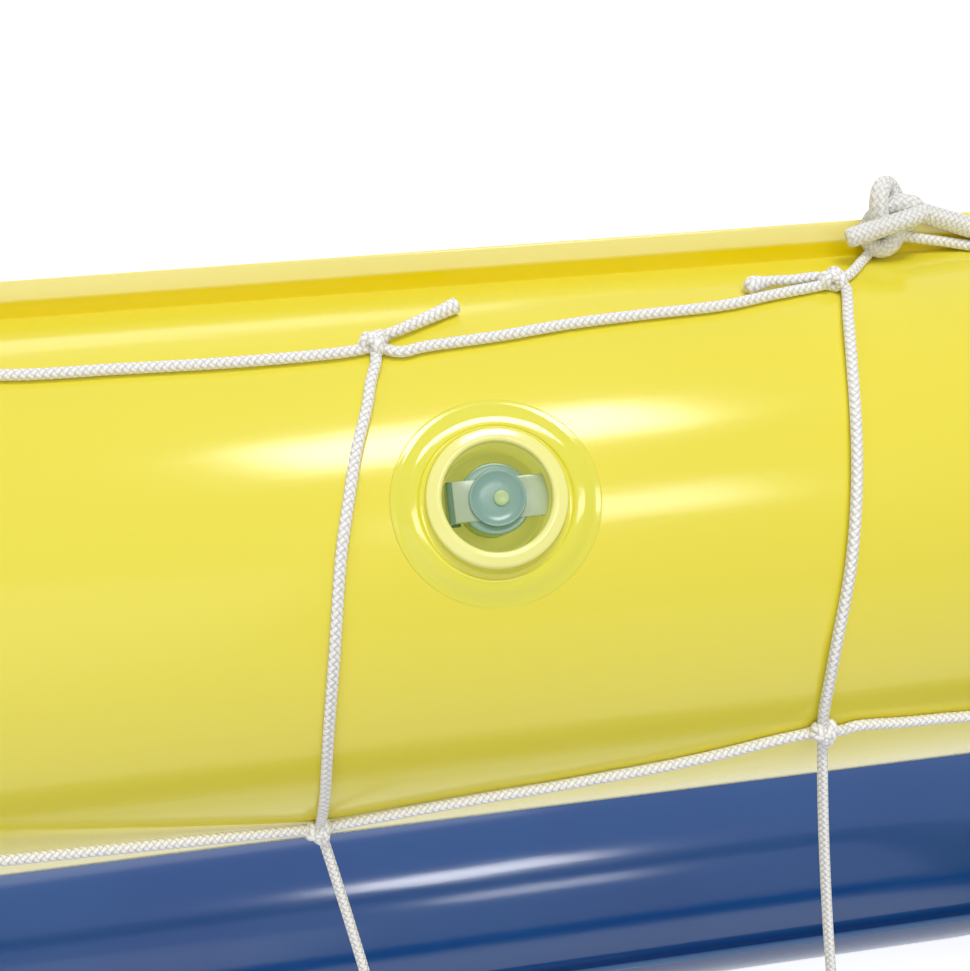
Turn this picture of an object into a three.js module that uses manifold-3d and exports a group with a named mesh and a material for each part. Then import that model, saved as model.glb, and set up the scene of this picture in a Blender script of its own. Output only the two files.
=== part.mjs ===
// Inflatable water polo goal for a pool, in millimetres, +Z up.
// A blue ring float carries a yellow arch across its middle, and a knotted cord net hangs
// behind the arch. +Y is the net side, and the origin is on the floor under the ring's centre.
import * as THREE from 'three';
import { mergeVertices } from 'three/addons/utils/BufferGeometryUtils.js';
import Module from 'manifold-3d';

const wasm = await Module();
wasm.setup();

// Driving dimensions
const overallWidth = 1400;
const overallDepth = 890;
const overallHeight = 660;
const floatRadius = 75;
const postStep = 10;
const flangeWidth = 8;
const flangeThickness = 1.2;
const floatCornerRadius = 150;
const archCornerRadius = 130;
const touchGap = 0.3;
const meshPitch = 97;
const netRows = 7;
const halfColumns = 6;
const cordThickness = 2.3;
const cutOverrun = 5;
const restHalfWidth = 6;
const tubeSides = 24;

// Places that follow from them. A post stands on the float, so its tube is slimmer by a step
const archRadius = floatRadius - postStep;
const floatHalfX = overallWidth / 2 - floatRadius - flangeWidth;
const floatHalfY = overallDepth / 2 - floatRadius - flangeWidth;
const crossbarZ = overallHeight - archRadius - flangeWidth;

// Materials
const paint = (color, roughness, metalness = 0) =>
  new THREE.MeshStandardMaterial({ color, roughness, metalness });
const yellowVinyl = paint('#efe04b', 0.32);
const blueVinyl = paint('#2f62a8', 0.34);
const clearVinyl = paint('#e6e08a', 0.22);
const valvePvc = paint('#7fa9a3', 0.3);
const whiteCord = paint('#f1f0ec', 0.75);

// Mesh helpers: a closed geometry is turned outwards, and goes to and from a solid

function outward(geometry) {
  const welded = geometry.index ? geometry : mergeVertices(geometry);
  const p = welded.attributes.position;
  const index = Array.from(welded.index.array);
  const a = new THREE.Vector3();
  const b = new THREE.Vector3();
  const c = new THREE.Vector3();
  let volume = 0;
  for (let i = 0; i < index.length; i += 3) {
    a.fromBufferAttribute(p, index[i]);
    b.fromBufferAttribute(p, index[i + 1]);
    c.fromBufferAttribute(p, index[i + 2]);
    volume += a.dot(b.cross(c));
  }
  if (volume < 0) welded.setIndex(index.reverse());
  return welded;
}

function bare(geometry) {
  const copy = geometry.clone();
  copy.deleteAttribute('normal');
  copy.deleteAttribute('uv');
  return outward(mergeVertices(copy));
}

function solid(geometry) {
  const g = bare(geometry);
  return new wasm.Manifold(new wasm.Mesh({
    numProp: 3,
    vertProperties: new Float32Array(g.attributes.position.array),
    triVerts: new Uint32Array(g.index.array),
  }));
}

function fromSolid(body) {
  const mesh = body.getMesh();
  const g = new THREE.BufferGeometry();
  g.setAttribute('position', new THREE.BufferAttribute(mesh.vertProperties, mesh.numProp));
  g.setIndex(Array.from(mesh.triVerts));
  return g;
}

// A loft: one outline carried through stations, each with an origin and two side directions
function loft(outline, stations, closed) {
  const count = outline.length;
  const points = stations.flatMap(({ at, out, up }) =>
    outline.flatMap((q) => at.clone().addScaledVector(out, q.x).addScaledVector(up, q.y).toArray()));
  const index = [];
  const spans = closed ? stations.length : stations.length - 1;
  for (let s = 0; s < spans; s++) {
    const near = s * count;
    const far = ((s + 1) % stations.length) * count;
    for (let i = 0; i < count; i++) {
      const j = (i + 1) % count;
      index.push(near + i, far + i, far + j, near + i, far + j, near + j);
    }
  }
  if (!closed) {
    const last = (stations.length - 1) * count;
    for (const [x, y, z] of THREE.ShapeUtils.triangulateShape(outline, [])) {
      index.push(x, y, z, last + z, last + y, last + x);
    }
  }
  const g = new THREE.BufferGeometry();
  g.setAttribute('position', new THREE.Float32BufferAttribute(points, 3));
  g.setIndex(index);
  return outward(g);
}

// Tube outline of two welded sheets: a round chamber with a flat weld flange on both sides.
// The float's own weight presses a narrow flat strip into its underside.
function chamberOutline(radius, grow = 0, restHalf = 0) {
  const r = radius + grow;
  const half = flangeThickness / 2 + grow;
  const tip = radius + flangeWidth + grow;
  const root = Math.sqrt(r * r - half * half);
  const points = [];
  for (const side of [1, -1]) {
    points.push([side * root, -side * half], [side * tip, -side * half]);
    points.push([side * tip, side * half], [side * root, side * half]);
    for (let i = 1; i < tubeSides / 2; i++) {
      const turn = (i / tubeSides) * 2 * Math.PI;
      const isLowest = side < 0 && i === tubeSides / 4;
      if (restHalf && isLowest) points.push([-restHalf, -r], [restHalf, -r]);
      else points.push([side * r * Math.cos(turn), side * r * Math.sin(turn)]);
    }
  }
  return points.map(([x, y]) => new THREE.Vector2(x, y));
}

// The float's centreline is a rounded rectangle at the chamber's radius above the floor
function floatStations() {
  const steps = 6;
  const up = new THREE.Vector3(0, 0, 1);
  const stations = [];
  for (let corner = 0; corner < 4; corner++) {
    const signX = corner === 0 || corner === 3 ? 1 : -1;
    const signY = corner < 2 ? 1 : -1;
    const cx = signX * (floatHalfX - floatCornerRadius);
    const cy = signY * (floatHalfY - floatCornerRadius);
    for (let i = 0; i <= steps; i++) {
      const turn = (corner + i / steps) * (Math.PI / 2);
      const out = new THREE.Vector3(Math.cos(turn), Math.sin(turn), 0);
      const at = new THREE.Vector3(cx, cy, floatRadius).addScaledVector(out, floatCornerRadius);
      stations.push({ at, out, up });
    }
  }
  return stations;
}

// The arch's centreline runs up one post, over the crossbar and down the other
function archStations() {
  const steps = 7;
  const up = new THREE.Vector3(0, 1, 0);
  const footZ = floatRadius;
  const cornerZ = crossbarZ - archCornerRadius;
  const stations = [];
  for (const side of [1, -1]) {
    const foot = new THREE.Vector3(side * floatHalfX, 0, footZ);
    const half = [{ at: foot, out: new THREE.Vector3(side, 0, 0), up }];
    for (let i = 0; i <= steps; i++) {
      const turn = (i / steps) * (Math.PI / 2);
      const out = new THREE.Vector3(side * Math.cos(turn), 0, Math.sin(turn));
      const at = new THREE.Vector3(side * (floatHalfX - archCornerRadius), 0, cornerZ);
      half.push({ at: at.addScaledVector(out, archCornerRadius), out, up });
    }
    stations.push(...(side === 1 ? half : half.reverse()));
  }
  return stations;
}

// Valve sizes, in the valve's own frame: z = 0 is the chamber's surface and +Z points outwards
const valve = {
  skirtRadius: 20.4,
  seatDepth: 4.4,
  filmProud: 0.8,
  wellRadius: 12.2,
  wellDepth: 36,
  wallRadius: 10.75,
  wallBottom: -24,
  ringRadius: 12.9,
  ringThick: 2.3,
  ringZ: 0.2,
  stemRadius: 6.9,
  stemTop: -2.4,
  stemBottom: -20.5,
  footRadius: 10.2,
  footHeight: 1.6,
  boreRadius: 4,
  collarHeight: 2.4,
  collarRadius: 6.3,
  capRadius: 4.8,
  capHeight: 2.2,
  dimpleRadius: 1.6,
  dimpleDepth: 1.4,
  webThick: 1.2,
  strapWidth: 8.2,
  shankRadius: 3,
  shankTipRadius: 2.7,
  shankLength: 4.2,
  hingeX: -8.2,
  tabX: 9.5,
  bendX: -9.5,
  strapRootZ: -9,
  flapRadius: 4.6,
  flapThick: 0.6,
};
const roundSides = 20;

const lathe = (profile, sides = roundSides) => {
  const g = new THREE.LatheGeometry(profile.map(([r, z]) => new THREE.Vector2(r, z)), sides);
  return g.rotateX(Math.PI / 2);
};

const disc = (radius, low, high, sides = roundSides) =>
  lathe([[0, low], [radius, low], [radius, high], [0, high]], sides);

const block = (x0, x1, halfY, z0, z1) =>
  new THREE.BoxGeometry(x1 - x0, 2 * halfY, z1 - z0).translate((x0 + x1) / 2, 0, (z0 + z1) / 2);

// The welded skirt follows the chamber's skin, with the rolled lip and the sleeve of the well
function skirtSolid(skin) {
  const v = valve;
  const floor = -v.seatDepth + touchGap;
  const film = skin.intersect(solid(disc(v.skirtRadius, floor, cutOverrun)));
  const lip = [];
  const lipSides = 7;
  for (let i = 0; i <= lipSides; i++) {
    const turn = (i / lipSides) * 2 * Math.PI;
    lip.push([v.ringRadius + v.ringThick * Math.cos(turn), v.ringZ + v.ringThick * Math.sin(turn)]);
  }
  const outerWall = v.wellRadius - touchGap;
  const sleeve = disc(outerWall, v.wallBottom, v.ringZ);
  const hole = disc(v.wallRadius, v.wallBottom - cutOverrun, cutOverrun);
  return film.add(solid(lathe(lip))).add(solid(sleeve)).subtract(solid(hole));
}

// The stem slides in the sleeve: a foot disc, a barrel with the air bore, and its top rim
function stemSolid() {
  const v = valve;
  const footTop = v.stemBottom + v.footHeight;
  return solid(lathe([
    [v.boreRadius, v.stemBottom], [v.footRadius, v.stemBottom], [v.footRadius, footTop],
    [v.collarRadius, footTop], [v.collarRadius, v.stemTop - v.collarHeight],
    [v.stemRadius, v.stemTop - v.collarHeight], [v.stemRadius, v.stemTop],
    [v.boreRadius, v.stemTop], [v.boreRadius, v.stemBottom],
  ]));
}

// The stopper: a web across the stem, a raised cap with a dimple, a tapered shank and a pull tab
function plugSolid() {
  const v = valve;
  const webLow = v.stemTop + touchGap;
  const webHigh = webLow + v.webThick;
  const web = block(v.hingeX + touchGap, v.tabX, v.strapWidth / 2, webLow, webHigh);
  const round = disc(v.stemRadius, webLow, webHigh);
  const cap = disc(v.capRadius, webLow, webHigh + v.capHeight);
  const dimpleTop = webHigh + v.capHeight;
  const dimple = disc(v.dimpleRadius, dimpleTop - v.dimpleDepth, dimpleTop + cutOverrun, roundSides / 2);
  const shank = lathe([
    [0, webLow - v.shankLength], [v.shankTipRadius, webLow - v.shankLength],
    [v.shankRadius, webHigh], [0, webHigh],
  ]);
  return solid(web).add(solid(round)).add(solid(cap)).add(solid(shank)).subtract(solid(dimple));
}

// The retaining strap: from under the rim it bends round and comes up to the stopper's web
function strapGeometry() {
  const v = valve;
  const low = v.stemTop + touchGap;
  const high = low + v.webThick;
  const rootHigh = v.strapRootZ + v.webThick;
  const inner = v.bendX + v.webThick;
  const corner = v.webThick / 2;
  const outline = new THREE.Shape();
  outline.moveTo(v.hingeX, low);
  outline.lineTo(v.hingeX, high);
  outline.lineTo(v.bendX + corner, high);
  outline.lineTo(v.bendX, high - corner);
  outline.lineTo(v.bendX, v.strapRootZ + corner);
  outline.lineTo(v.bendX + corner, v.strapRootZ);
  outline.lineTo(-v.collarRadius - touchGap, v.strapRootZ);
  outline.lineTo(-v.collarRadius - touchGap, rootHigh);
  outline.lineTo(inner, rootHigh);
  outline.lineTo(inner, low);
  outline.closePath();
  const g = new THREE.ExtrudeGeometry(outline, { depth: v.strapWidth, bevelEnabled: false });
  return g.translate(0, 0, -v.strapWidth / 2).rotateX(Math.PI / 2);
}

// The one-way flap hangs under the bore and swings down when air is blown in
function flapGeometry() {
  const v = valve;
  const top = v.stemBottom - touchGap;
  return disc(v.flapRadius, top - v.flapThick, top, roundSides / 2);
}

// A valve's frame: its +X runs along the chamber, +Z is the chamber's outward normal
function valvePlace(origin, along, normal) {
  const side = new THREE.Vector3().crossVectors(normal, along);
  return new THREE.Matrix4().makeBasis(along, side, normal).setPosition(origin);
}

const valveTurn = THREE.MathUtils.degToRad(36.6);
const archValveX = -72;
const archValveNormal = new THREE.Vector3(0, Math.cos(valveTurn), Math.sin(valveTurn));
const archValveOrigin = new THREE.Vector3(archValveX, 0, crossbarZ)
  .addScaledVector(archValveNormal, archRadius);
const floatValveY = -170;
const floatValveOrigin = new THREE.Vector3(floatHalfX, floatValveY, 2 * floatRadius);
const valves = [
  {
    name: 'arch_valve',
    skinRadius: archRadius,
    place: valvePlace(archValveOrigin, new THREE.Vector3(-1, 0, 0), archValveNormal),
  },
  {
    name: 'float_valve',
    skinRadius: floatRadius,
    place: valvePlace(floatValveOrigin, new THREE.Vector3(0, -1, 0), new THREE.Vector3(0, 0, 1)),
  },
];

// A short straight length of a chamber's skin round a valve, in the valve's frame
function skinPiece(radius) {
  const reach = 2 * valve.skirtRadius;
  const skin = new THREE.CylinderGeometry(radius, radius, reach, 2 * tubeSides);
  return solid(skin.rotateZ(Math.PI / 2).translate(0, 0, -radius + valve.filmProud));
}

const placed = (body, matrix) => solid(fromSolid(body).applyMatrix4(matrix));

// The seat and the well that a valve needs in its chamber
function valveCut(place) {
  const v = valve;
  const seat = solid(disc(v.skirtRadius + touchGap, -v.seatDepth, cutOverrun));
  const well = solid(disc(v.wellRadius, -v.wellDepth, cutOverrun));
  return placed(seat.add(well), place);
}

// Tie holes in the flanges, one for each tie cord
const tieHoleRadius = 2.3;
const tieHoleInset = 4.85;
const tieShift = 24.5;

// The net's section: over the crossbar's back, free to the float, and over the float's outside
const netStandoff = 4.4;
const borderOut = 6.2;
const borderUp = 4.6;
const topTurn = THREE.MathUtils.degToRad(74);
const leaveTurn = 0;
const landTurn = THREE.MathUtils.degToRad(62);
const leavePull = 175;
const landPull = 190;

function netSection() {
  const points = [];
  const barR = archRadius + netStandoff;
  const floatR = floatRadius + netStandoff;
  const steps = 24;
  for (let i = 0; i <= steps; i++) {
    const turn = THREE.MathUtils.lerp(topTurn, leaveTurn, i / steps);
    points.push(new THREE.Vector2(barR * Math.cos(turn), crossbarZ + barR * Math.sin(turn)));
  }
  const from = points.at(-1);
  const to = new THREE.Vector2(
    floatHalfY + floatR * Math.cos(landTurn), floatRadius + floatR * Math.sin(landTurn));
  const leave = new THREE.Vector2(Math.sin(leaveTurn), -Math.cos(leaveTurn)).multiplyScalar(leavePull);
  const land = new THREE.Vector2(Math.sin(landTurn), -Math.cos(landTurn)).multiplyScalar(landPull);
  const free = new THREE.CubicBezierCurve(from, from.clone().add(leave), to.clone().sub(land), to);
  points.push(...free.getPoints(2 * steps).slice(1));
  const endR = Math.hypot(floatRadius + borderOut, borderUp);
  const endTurn = Math.atan2(borderUp, floatRadius + borderOut);
  for (let i = 1; i <= steps; i++) {
    const turn = THREE.MathUtils.lerp(landTurn, endTurn, i / steps);
    const r = THREE.MathUtils.lerp(floatR, endR, (i / steps) ** 3);
    points.push(new THREE.Vector2(floatHalfY + r * Math.cos(turn), floatRadius + r * Math.sin(turn)));
  }
  return points;
}

// Point on the section at row t, from 0 at the crossbar to netRows at the float, by length
const section = netSection();
const sectionLengths = section.reduce((sums, p, i) =>
  (i ? [...sums, sums[i - 1] + p.distanceTo(section[i - 1])] : [0]), []);
const sectionLength = sectionLengths.at(-1);

function sectionAt(t) {
  const want = THREE.MathUtils.clamp(t / netRows, 0, 1) * sectionLength;
  const i = Math.max(1, sectionLengths.findIndex((s) => s >= want));
  const share = (want - sectionLengths[i - 1]) / (sectionLengths[i] - sectionLengths[i - 1]);
  return section[i - 1].clone().lerp(section[i], share);
}

// The level path of row t from the middle of the back to the post's outer flange
const sideStandoff = 2.5;
const sideBend = archRadius + sideStandoff;

function rowPath(t) {
  const { x: depth, y: height } = sectionAt(t);
  const cornerX = floatHalfX - archCornerRadius;
  const cornerZ = crossbarZ - archCornerRadius;
  const rise = Math.max(0, height - cornerZ);
  const flangeR = archCornerRadius + archRadius + borderOut;
  const postX = cornerX + Math.sqrt(Math.max(0, flangeR * flangeR - rise * rise));
  const floatSide = height < 2 * floatRadius ? floatHalfX + (depth - floatHalfY) : 0;
  const reach = Math.max(postX, floatSide);
  const spread = THREE.MathUtils.clamp((depth - sideBend) / floatHalfY, 0, 1);
  const bendFull = floatCornerRadius + Math.max(0, depth - floatHalfY);
  const bend = Math.min(THREE.MathUtils.lerp(sideBend, bendFull, spread), depth - borderUp);
  const flat = reach - bend;
  const arc = bend * Math.PI / 2;
  const tail = depth - bend - borderUp;
  return { depth, height, flat, bend, arc, tail, reach, length: flat + arc + tail };
}

function pathPoint(t, along) {
  const p = rowPath(t);
  const side = Math.sign(along);
  const a = Math.abs(along);
  if (a <= p.flat) return new THREE.Vector3(along, p.depth, p.height);
  const turn = Math.min(Math.PI / 2, (a - p.flat) / p.bend);
  const x = p.flat + p.bend * Math.sin(turn);
  const y = p.depth - p.bend + p.bend * Math.cos(turn);
  return new THREE.Vector3(side * x, y - Math.max(0, a - p.flat - p.arc), p.height);
}

// How many meshes of row k lie between the back's edge column and the post
const edgeAlong = (halfColumns - 0.5) * meshPitch;
const sideMeshes = (k) => {
  if (k === 0) return 0;
  return Math.max(1, Math.round((rowPath(k).length - edgeAlong) / meshPitch));
};

// Between its ties the border cord sags on the crossbar; a tie lifts it to the flange
const crossbarTieColumns = [1.5, 4.5];
const tieAlongs = crossbarTieColumns.map((column) => column * meshPitch + tieShift);
const liftReach = 40;
const liftRows = 0.2;

function liftedBorder(point, t) {
  const nearest = Math.min(...tieAlongs.map((a) => Math.abs(Math.abs(point.x) - a)));
  const share = Math.exp(-((nearest / liftReach) ** 2)) * Math.max(0, 1 - t / liftRows);
  const turn = Math.atan2(borderUp, archRadius + borderOut);
  const goal = new THREE.Vector3(
    point.x, borderUp, crossbarZ + (archRadius + borderOut) * Math.cos(turn));
  const cornerX = floatHalfX - archCornerRadius;
  const past = Math.max(0, Math.abs(point.x) - cornerX);
  const outerR = archCornerRadius + archRadius;
  const fall = outerR - Math.sqrt(Math.max(0, outerR * outerR - past * past));
  const drop = fall * Math.max(0, 1 - t);
  return point.lerp(goal, share).setZ(point.z - drop);
}

const alongOf = (k, column) => {
  if (column <= halfColumns - 0.5) return column * meshPitch;
  const step = (rowPath(k).length - edgeAlong) / sideMeshes(k);
  return edgeAlong + (column - halfColumns + 0.5) * step;
};

const netPoint = (t, along) => liftedBorder(pathPoint(t, along), t);

// A cord mesh: knots joined by square strands that thin out from each knot, one closed body.
// Each knot sorts its strands by bearing, so neighbouring strands share a corner of the knot.
const knotShare = 1.15;
const knotLengthShare = 0.045;
const straightShare = 0.5;
const sharpShare = 0.6;

function cordMesh(knots, strands) {
  const half = cordThickness / 2;
  const positions = [];
  const index = [];
  const addPoint = (p) => positions.push(p.x, p.y, p.z) / 3 - 1;
  const quad = (a, b, c, d) => index.push(a, b, c, a, c, d);
  for (const knot of knots.values()) knot.ends = [];
  for (const strand of strands) {
    const bearing = Math.atan2(strand.to.row - strand.from.row, strand.to.column - strand.from.column);
    strand.from.ends.push({ strand, bearing, first: true });
    strand.to.ends.push({ strand, bearing: bearing + Math.PI, first: false });
  }
  for (const knot of knots.values()) {
    if (!knot.ends.length) continue;
    const size = half * (1 + knotShare * Math.min(1, knot.ends.length - 1));
    for (const end of knot.ends) {
      end.bearing = Math.atan2(Math.sin(end.bearing), Math.cos(end.bearing));
      const other = end.first ? end.strand.path[1] : end.strand.path.at(-2);
      end.way = other.clone().sub(knot.at).projectOnPlane(knot.normal).normalize();
    }
    knot.ends.sort((p, q) => p.bearing - q.bearing);
    const count = knot.ends.length;
    const top = [];
    const bottom = [];
    for (let i = 0; i < count; i++) {
      const a = knot.ends[i];
      const b = knot.ends[(i + 1) % count];
      let offset = a.way.clone().add(b.way);
      const left = new THREE.Vector3().crossVectors(knot.normal, a.way);
      if (count === 1) offset = left.clone().negate();
      else if (offset.length() < straightShare || count === 2) offset = left.clone();
      else if (offset.dot(left) < 0) offset.negate();
      if (count === 2 && i === 1) offset = left.clone();
      offset.normalize();
      const reach = size / Math.max(sharpShare, offset.dot(left) || 1);
      const corner = knot.at.clone().addScaledVector(offset, count === 1 ? size : reach);
      top.push(addPoint(corner.clone().addScaledVector(knot.normal, size)));
      bottom.push(addPoint(corner.clone().addScaledVector(knot.normal, -size)));
    }
    if (count === 1) {
      const a = knot.ends[0];
      const left = new THREE.Vector3().crossVectors(knot.normal, a.way);
      const corner = knot.at.clone().addScaledVector(left, size);
      top.push(addPoint(corner.clone().addScaledVector(knot.normal, size)));
      bottom.push(addPoint(corner.clone().addScaledVector(knot.normal, -size)));
      a.ring = [top[0], top[1], bottom[1], bottom[0]];
      quad(top[0], top[1], bottom[1], bottom[0]);
      continue;
    }
    for (let i = 0; i < count; i++) {
      const before = (i + count - 1) % count;
      knot.ends[i].ring = [top[before], top[i], bottom[i], bottom[before]];
    }
    for (let i = 1; i + 1 < count; i++) {
      index.push(top[0], top[i], top[i + 1], bottom[0], bottom[i + 1], bottom[i]);
    }
  }
  for (const strand of strands) {
    const start = strand.from.ends.find((e) => e.strand === strand && e.first).ring;
    const finish = strand.to.ends.find((e) => e.strand === strand && !e.first).ring;
    let ring = start;
    for (let i = 1; i < strand.path.length - 1; i++) {
      const at = strand.path[i];
      const way = strand.path[i + 1].clone().sub(strand.path[i - 1]).normalize();
      const left = new THREE.Vector3().crossVectors(strand.normals[i], way).normalize();
      const up = new THREE.Vector3().crossVectors(way, left);
      const next = [[-1, 1], [1, 1], [1, -1], [-1, -1]].map(([x, y]) =>
        addPoint(at.clone().addScaledVector(left, x * half).addScaledVector(up, y * half)));
      for (let n = 0; n < 4; n++) quad(ring[n], next[n], next[(n + 1) % 4], ring[(n + 1) % 4]);
      ring = next;
    }
    const end = [finish[1], finish[0], finish[3], finish[2]];
    for (let n = 0; n < 4; n++) quad(ring[n], end[n], end[(n + 1) % 4], ring[(n + 1) % 4]);
  }
  const g = new THREE.BufferGeometry();
  g.setAttribute('position', new THREE.Float32BufferAttribute(positions, 3));
  g.setIndex(index);
  return outward(g);
}

// The surface normal of the net at a place, from its neighbours along and down
const neighbourShare = 1 / 40;

function netNormal(t, along) {
  const tiny = neighbourShare * meshPitch;
  const low = Math.max(0, t - neighbourShare);
  const high = Math.min(netRows, t + neighbourShare);
  const across = netPoint(t, along + tiny).sub(netPoint(t, along - tiny));
  const down = netPoint(high, along).sub(netPoint(low, along));
  return new THREE.Vector3().crossVectors(down, across).normalize();
}

// Strands of the net between two columns of each row, as knots and paths
function netPart(firstColumn, lastColumn, side, joined) {
  const knots = new Map();
  const strands = [];
  const place = (k, column) => (side || Math.sign(column)) * alongOf(k, Math.abs(column));
  const has = (k, column) => Math.abs(column) <= halfColumns - 0.5 + sideMeshes(k)
    && column >= firstColumn && column <= lastColumn;
  const knotAt = (k, column) => {
    const key = `${k}:${column}`;
    if (!knots.has(key)) {
      const along = place(k, column);
      knots.set(key, {
        at: netPoint(k, along),
        normal: netNormal(k, along),
        row: -k,
        column: side ? side * column : column,
      });
    }
    return knots.get(key);
  };
  const strand = (from, to, toPoint, toNormal, cuts) => {
    const path = cuts.map((share) => (share === 0 ? from.at : share === 1 ? to.at : toPoint(share)));
    strands.push({ from, to, path, normals: cuts.map((share) => toNormal(share)) });
  };
  for (let k = 0; k <= netRows; k++) {
    for (let c = firstColumn; c <= lastColumn; c++) {
      if (!has(k, c)) continue;
      const here = place(k, c);
      if (has(k, c + 1)) {
        const far = place(k, c + 1);
        const at = (share) => THREE.MathUtils.lerp(here, far, share);
        const bends = Math.max(Math.abs(c), Math.abs(c + 1)) > halfColumns - 1;
        strand(knotAt(k, c), knotAt(k, c + 1), (s) => netPoint(k, at(s)), (s) => netNormal(k, at(s)),
          bends ? wrapCutShares : acrossCutShares);
      }
      if (k < netRows && has(k + 1, c)) {
        const below = place(k + 1, c);
        const cuts = k === 0 || k === netRows - 1 ? wrapCutShares : acrossCutShares;
        const at = (share) => THREE.MathUtils.lerp(here, below, share);
        strand(knotAt(k, c), knotAt(k + 1, c), (s) => netPoint(k + s, at(s)),
          (s) => netNormal(k + s, at(s)), cuts);
      }
    }
    const last = halfColumns - 0.5 + sideMeshes(k);
    const lastBelow = k < netRows ? halfColumns - 0.5 + sideMeshes(k + 1) : last;
    if (joined && k > 0 && lastBelow > last) {
      const rim = (s) => side * rowPath(k + s).length;
      strand(knotAt(k, last), knotAt(k + 1, lastBelow), (s) => netPoint(k + s, rim(s)),
        (s) => netNormal(k + s, rim(s) - side), wrapCutShares);
    }
    if (joined && k > 0) {
      const c = firstColumn;
      const edge = side * edgeAlong;
      const far = place(k, c);
      const clear = (cordThickness * (1 + knotShare) / 2 + touchGap) / Math.abs(far - edge);
      const stub = edge + (far - edge) * clear;
      const end = { at: netPoint(k, stub), normal: netNormal(k, stub), row: -k, column: side * (c - 1) };
      knots.set(`${k}:end`, end);
      const at = (share) => THREE.MathUtils.lerp(stub, far, share);
      strand(end, knotAt(k, c), (s) => netPoint(k, at(s)), (s) => netNormal(k, at(s)), wrapCutShares);
    }
  }
  return cordMesh(knots, strands);
}

const acrossCutShares = [0, knotLengthShare, 1 - knotLengthShare, 1];
const wrapCutShares = [0, knotLengthShare, 1 / 4, 1 / 2, 3 / 4, 1 - knotLengthShare, 1];

// A tie: a small loop through the flange's hole and round the net's border, with its knot
const tieLoopRadius = 5.2;
const tieCordRadius = 0.9;
const tieLoopUp = 3.4;
const tieLoopOut = 1;
const knotStretchShare = 1.3;

function tieGeometry(edge, out, up, knotSize) {
  const along = new THREE.Vector3().crossVectors(out, up);
  const ring = new THREE.TorusGeometry(tieLoopRadius, tieCordRadius, 5, 10);
  const ball = new THREE.SphereGeometry(knotSize, 6, 4);
  const lift = tieLoopRadius + knotSize / 2;
  ball.scale(1, 1, knotStretchShare).translate(lift * Math.SQRT1_2, lift * Math.SQRT1_2, 0);
  const centre = edge.clone().addScaledVector(out, -tieLoopOut).addScaledVector(up, tieLoopUp);
  const place = new THREE.Matrix4().makeBasis(out, up, along).setPosition(centre);
  return fromSolid(solid(ring).add(solid(ball))).applyMatrix4(place);
}

// Every tie: where the flange's edge is, which way the flange points and where the net comes from
const upZ = new THREE.Vector3(0, 0, 1);
const backY = new THREE.Vector3(0, 1, 0);
const ties = [];
const bigKnot = 5.4;
const smallKnot = 3;
const postTieRows = [3, 4, 5];
const floatTieColumns = [0.5, 2.5, 4.5];

// The rear flange's edge and outward way at a distance from the middle, round the corner too
function rearEdge(side, along) {
  const bendX = floatHalfX - floatCornerRadius;
  const bendY = floatHalfY - floatCornerRadius;
  const reach = floatCornerRadius + floatRadius + flangeWidth;
  const turn = Math.asin(Math.max(0, along - bendX) / reach);
  const out = new THREE.Vector3(side * Math.sin(turn), Math.cos(turn), 0);
  const centre = new THREE.Vector3(side * Math.min(along, bendX), bendY, floatRadius);
  return { edge: centre.addScaledVector(out, reach), out };
}

for (const side of [-1, 1]) {
  const word = side < 0 ? 'left' : 'right';
  tieAlongs.forEach((along, i) => ties.push({
    name: `crossbar_tie_${word}_${i + 1}`,
    edge: new THREE.Vector3(side * along, 0, crossbarZ + archRadius + flangeWidth),
    out: upZ,
    up: backY,
    knot: bigKnot,
  }));
  const outX = new THREE.Vector3(side, 0, 0);
  for (const [i, row] of postTieRows.entries()) {
    const height = sectionAt(row).y - tieShift;
    ties.push({
      name: `post_tie_${word}_${i + 1}`,
      edge: new THREE.Vector3(side * (floatHalfX + archRadius + flangeWidth), 0, height),
      out: outX,
      up: backY,
      knot: smallKnot,
    });
  }
  for (const [i, column] of floatTieColumns.entries()) {
    ties.push({
      name: `float_tie_${word}_${i + 1}`,
      ...rearEdge(side, column * meshPitch + tieShift),
      up: upZ,
      knot: smallKnot,
      onFloat: true,
    });
  }
  const lastStep = (rowPath(netRows).length - edgeAlong) / sideMeshes(netRows);
  ties.push({
    name: `float_tie_${word}_4`,
    edge: new THREE.Vector3(side * overallWidth / 2, borderUp + lastStep + tieShift, floatRadius),
    out: outX,
    up: upZ,
    knot: smallKnot,
    onFloat: true,
  });
}

function tieHoles(list) {
  return list.map(({ edge, out, up }) => {
    const hole = new THREE.CylinderGeometry(tieHoleRadius, tieHoleRadius, 2 * cutOverrun, 8);
    const along = new THREE.Vector3().crossVectors(out, up);
    const centre = edge.clone().addScaledVector(out, -tieHoleInset);
    const place = new THREE.Matrix4().makeBasis(out, up, along).setPosition(centre);
    return solid(hole.applyMatrix4(place));
  });
}

const cutAll = (body, cuts) => cuts.reduce((rest, cut) => rest.subtract(cut), body);

// The two air chambers
const floatSkin = loft(chamberOutline(floatRadius, 0, restHalfWidth), floatStations(), true);
const floatKeepOut = loft(chamberOutline(floatRadius, touchGap), floatStations(), true);
const floatBody = cutAll(solid(floatSkin), [
  valveCut(valves[1].place), ...tieHoles(ties.filter((t) => t.onFloat)),
]);
const archBody = cutAll(solid(loft(chamberOutline(archRadius), archStations(), false)), [
  solid(floatKeepOut), valveCut(valves[0].place), ...tieHoles(ties.filter((t) => !t.onFloat)),
]);

// A post's foot is welded down through a collar of film that saddles the float
const collarReach = 20;
const collarThick = 0.9;

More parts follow.
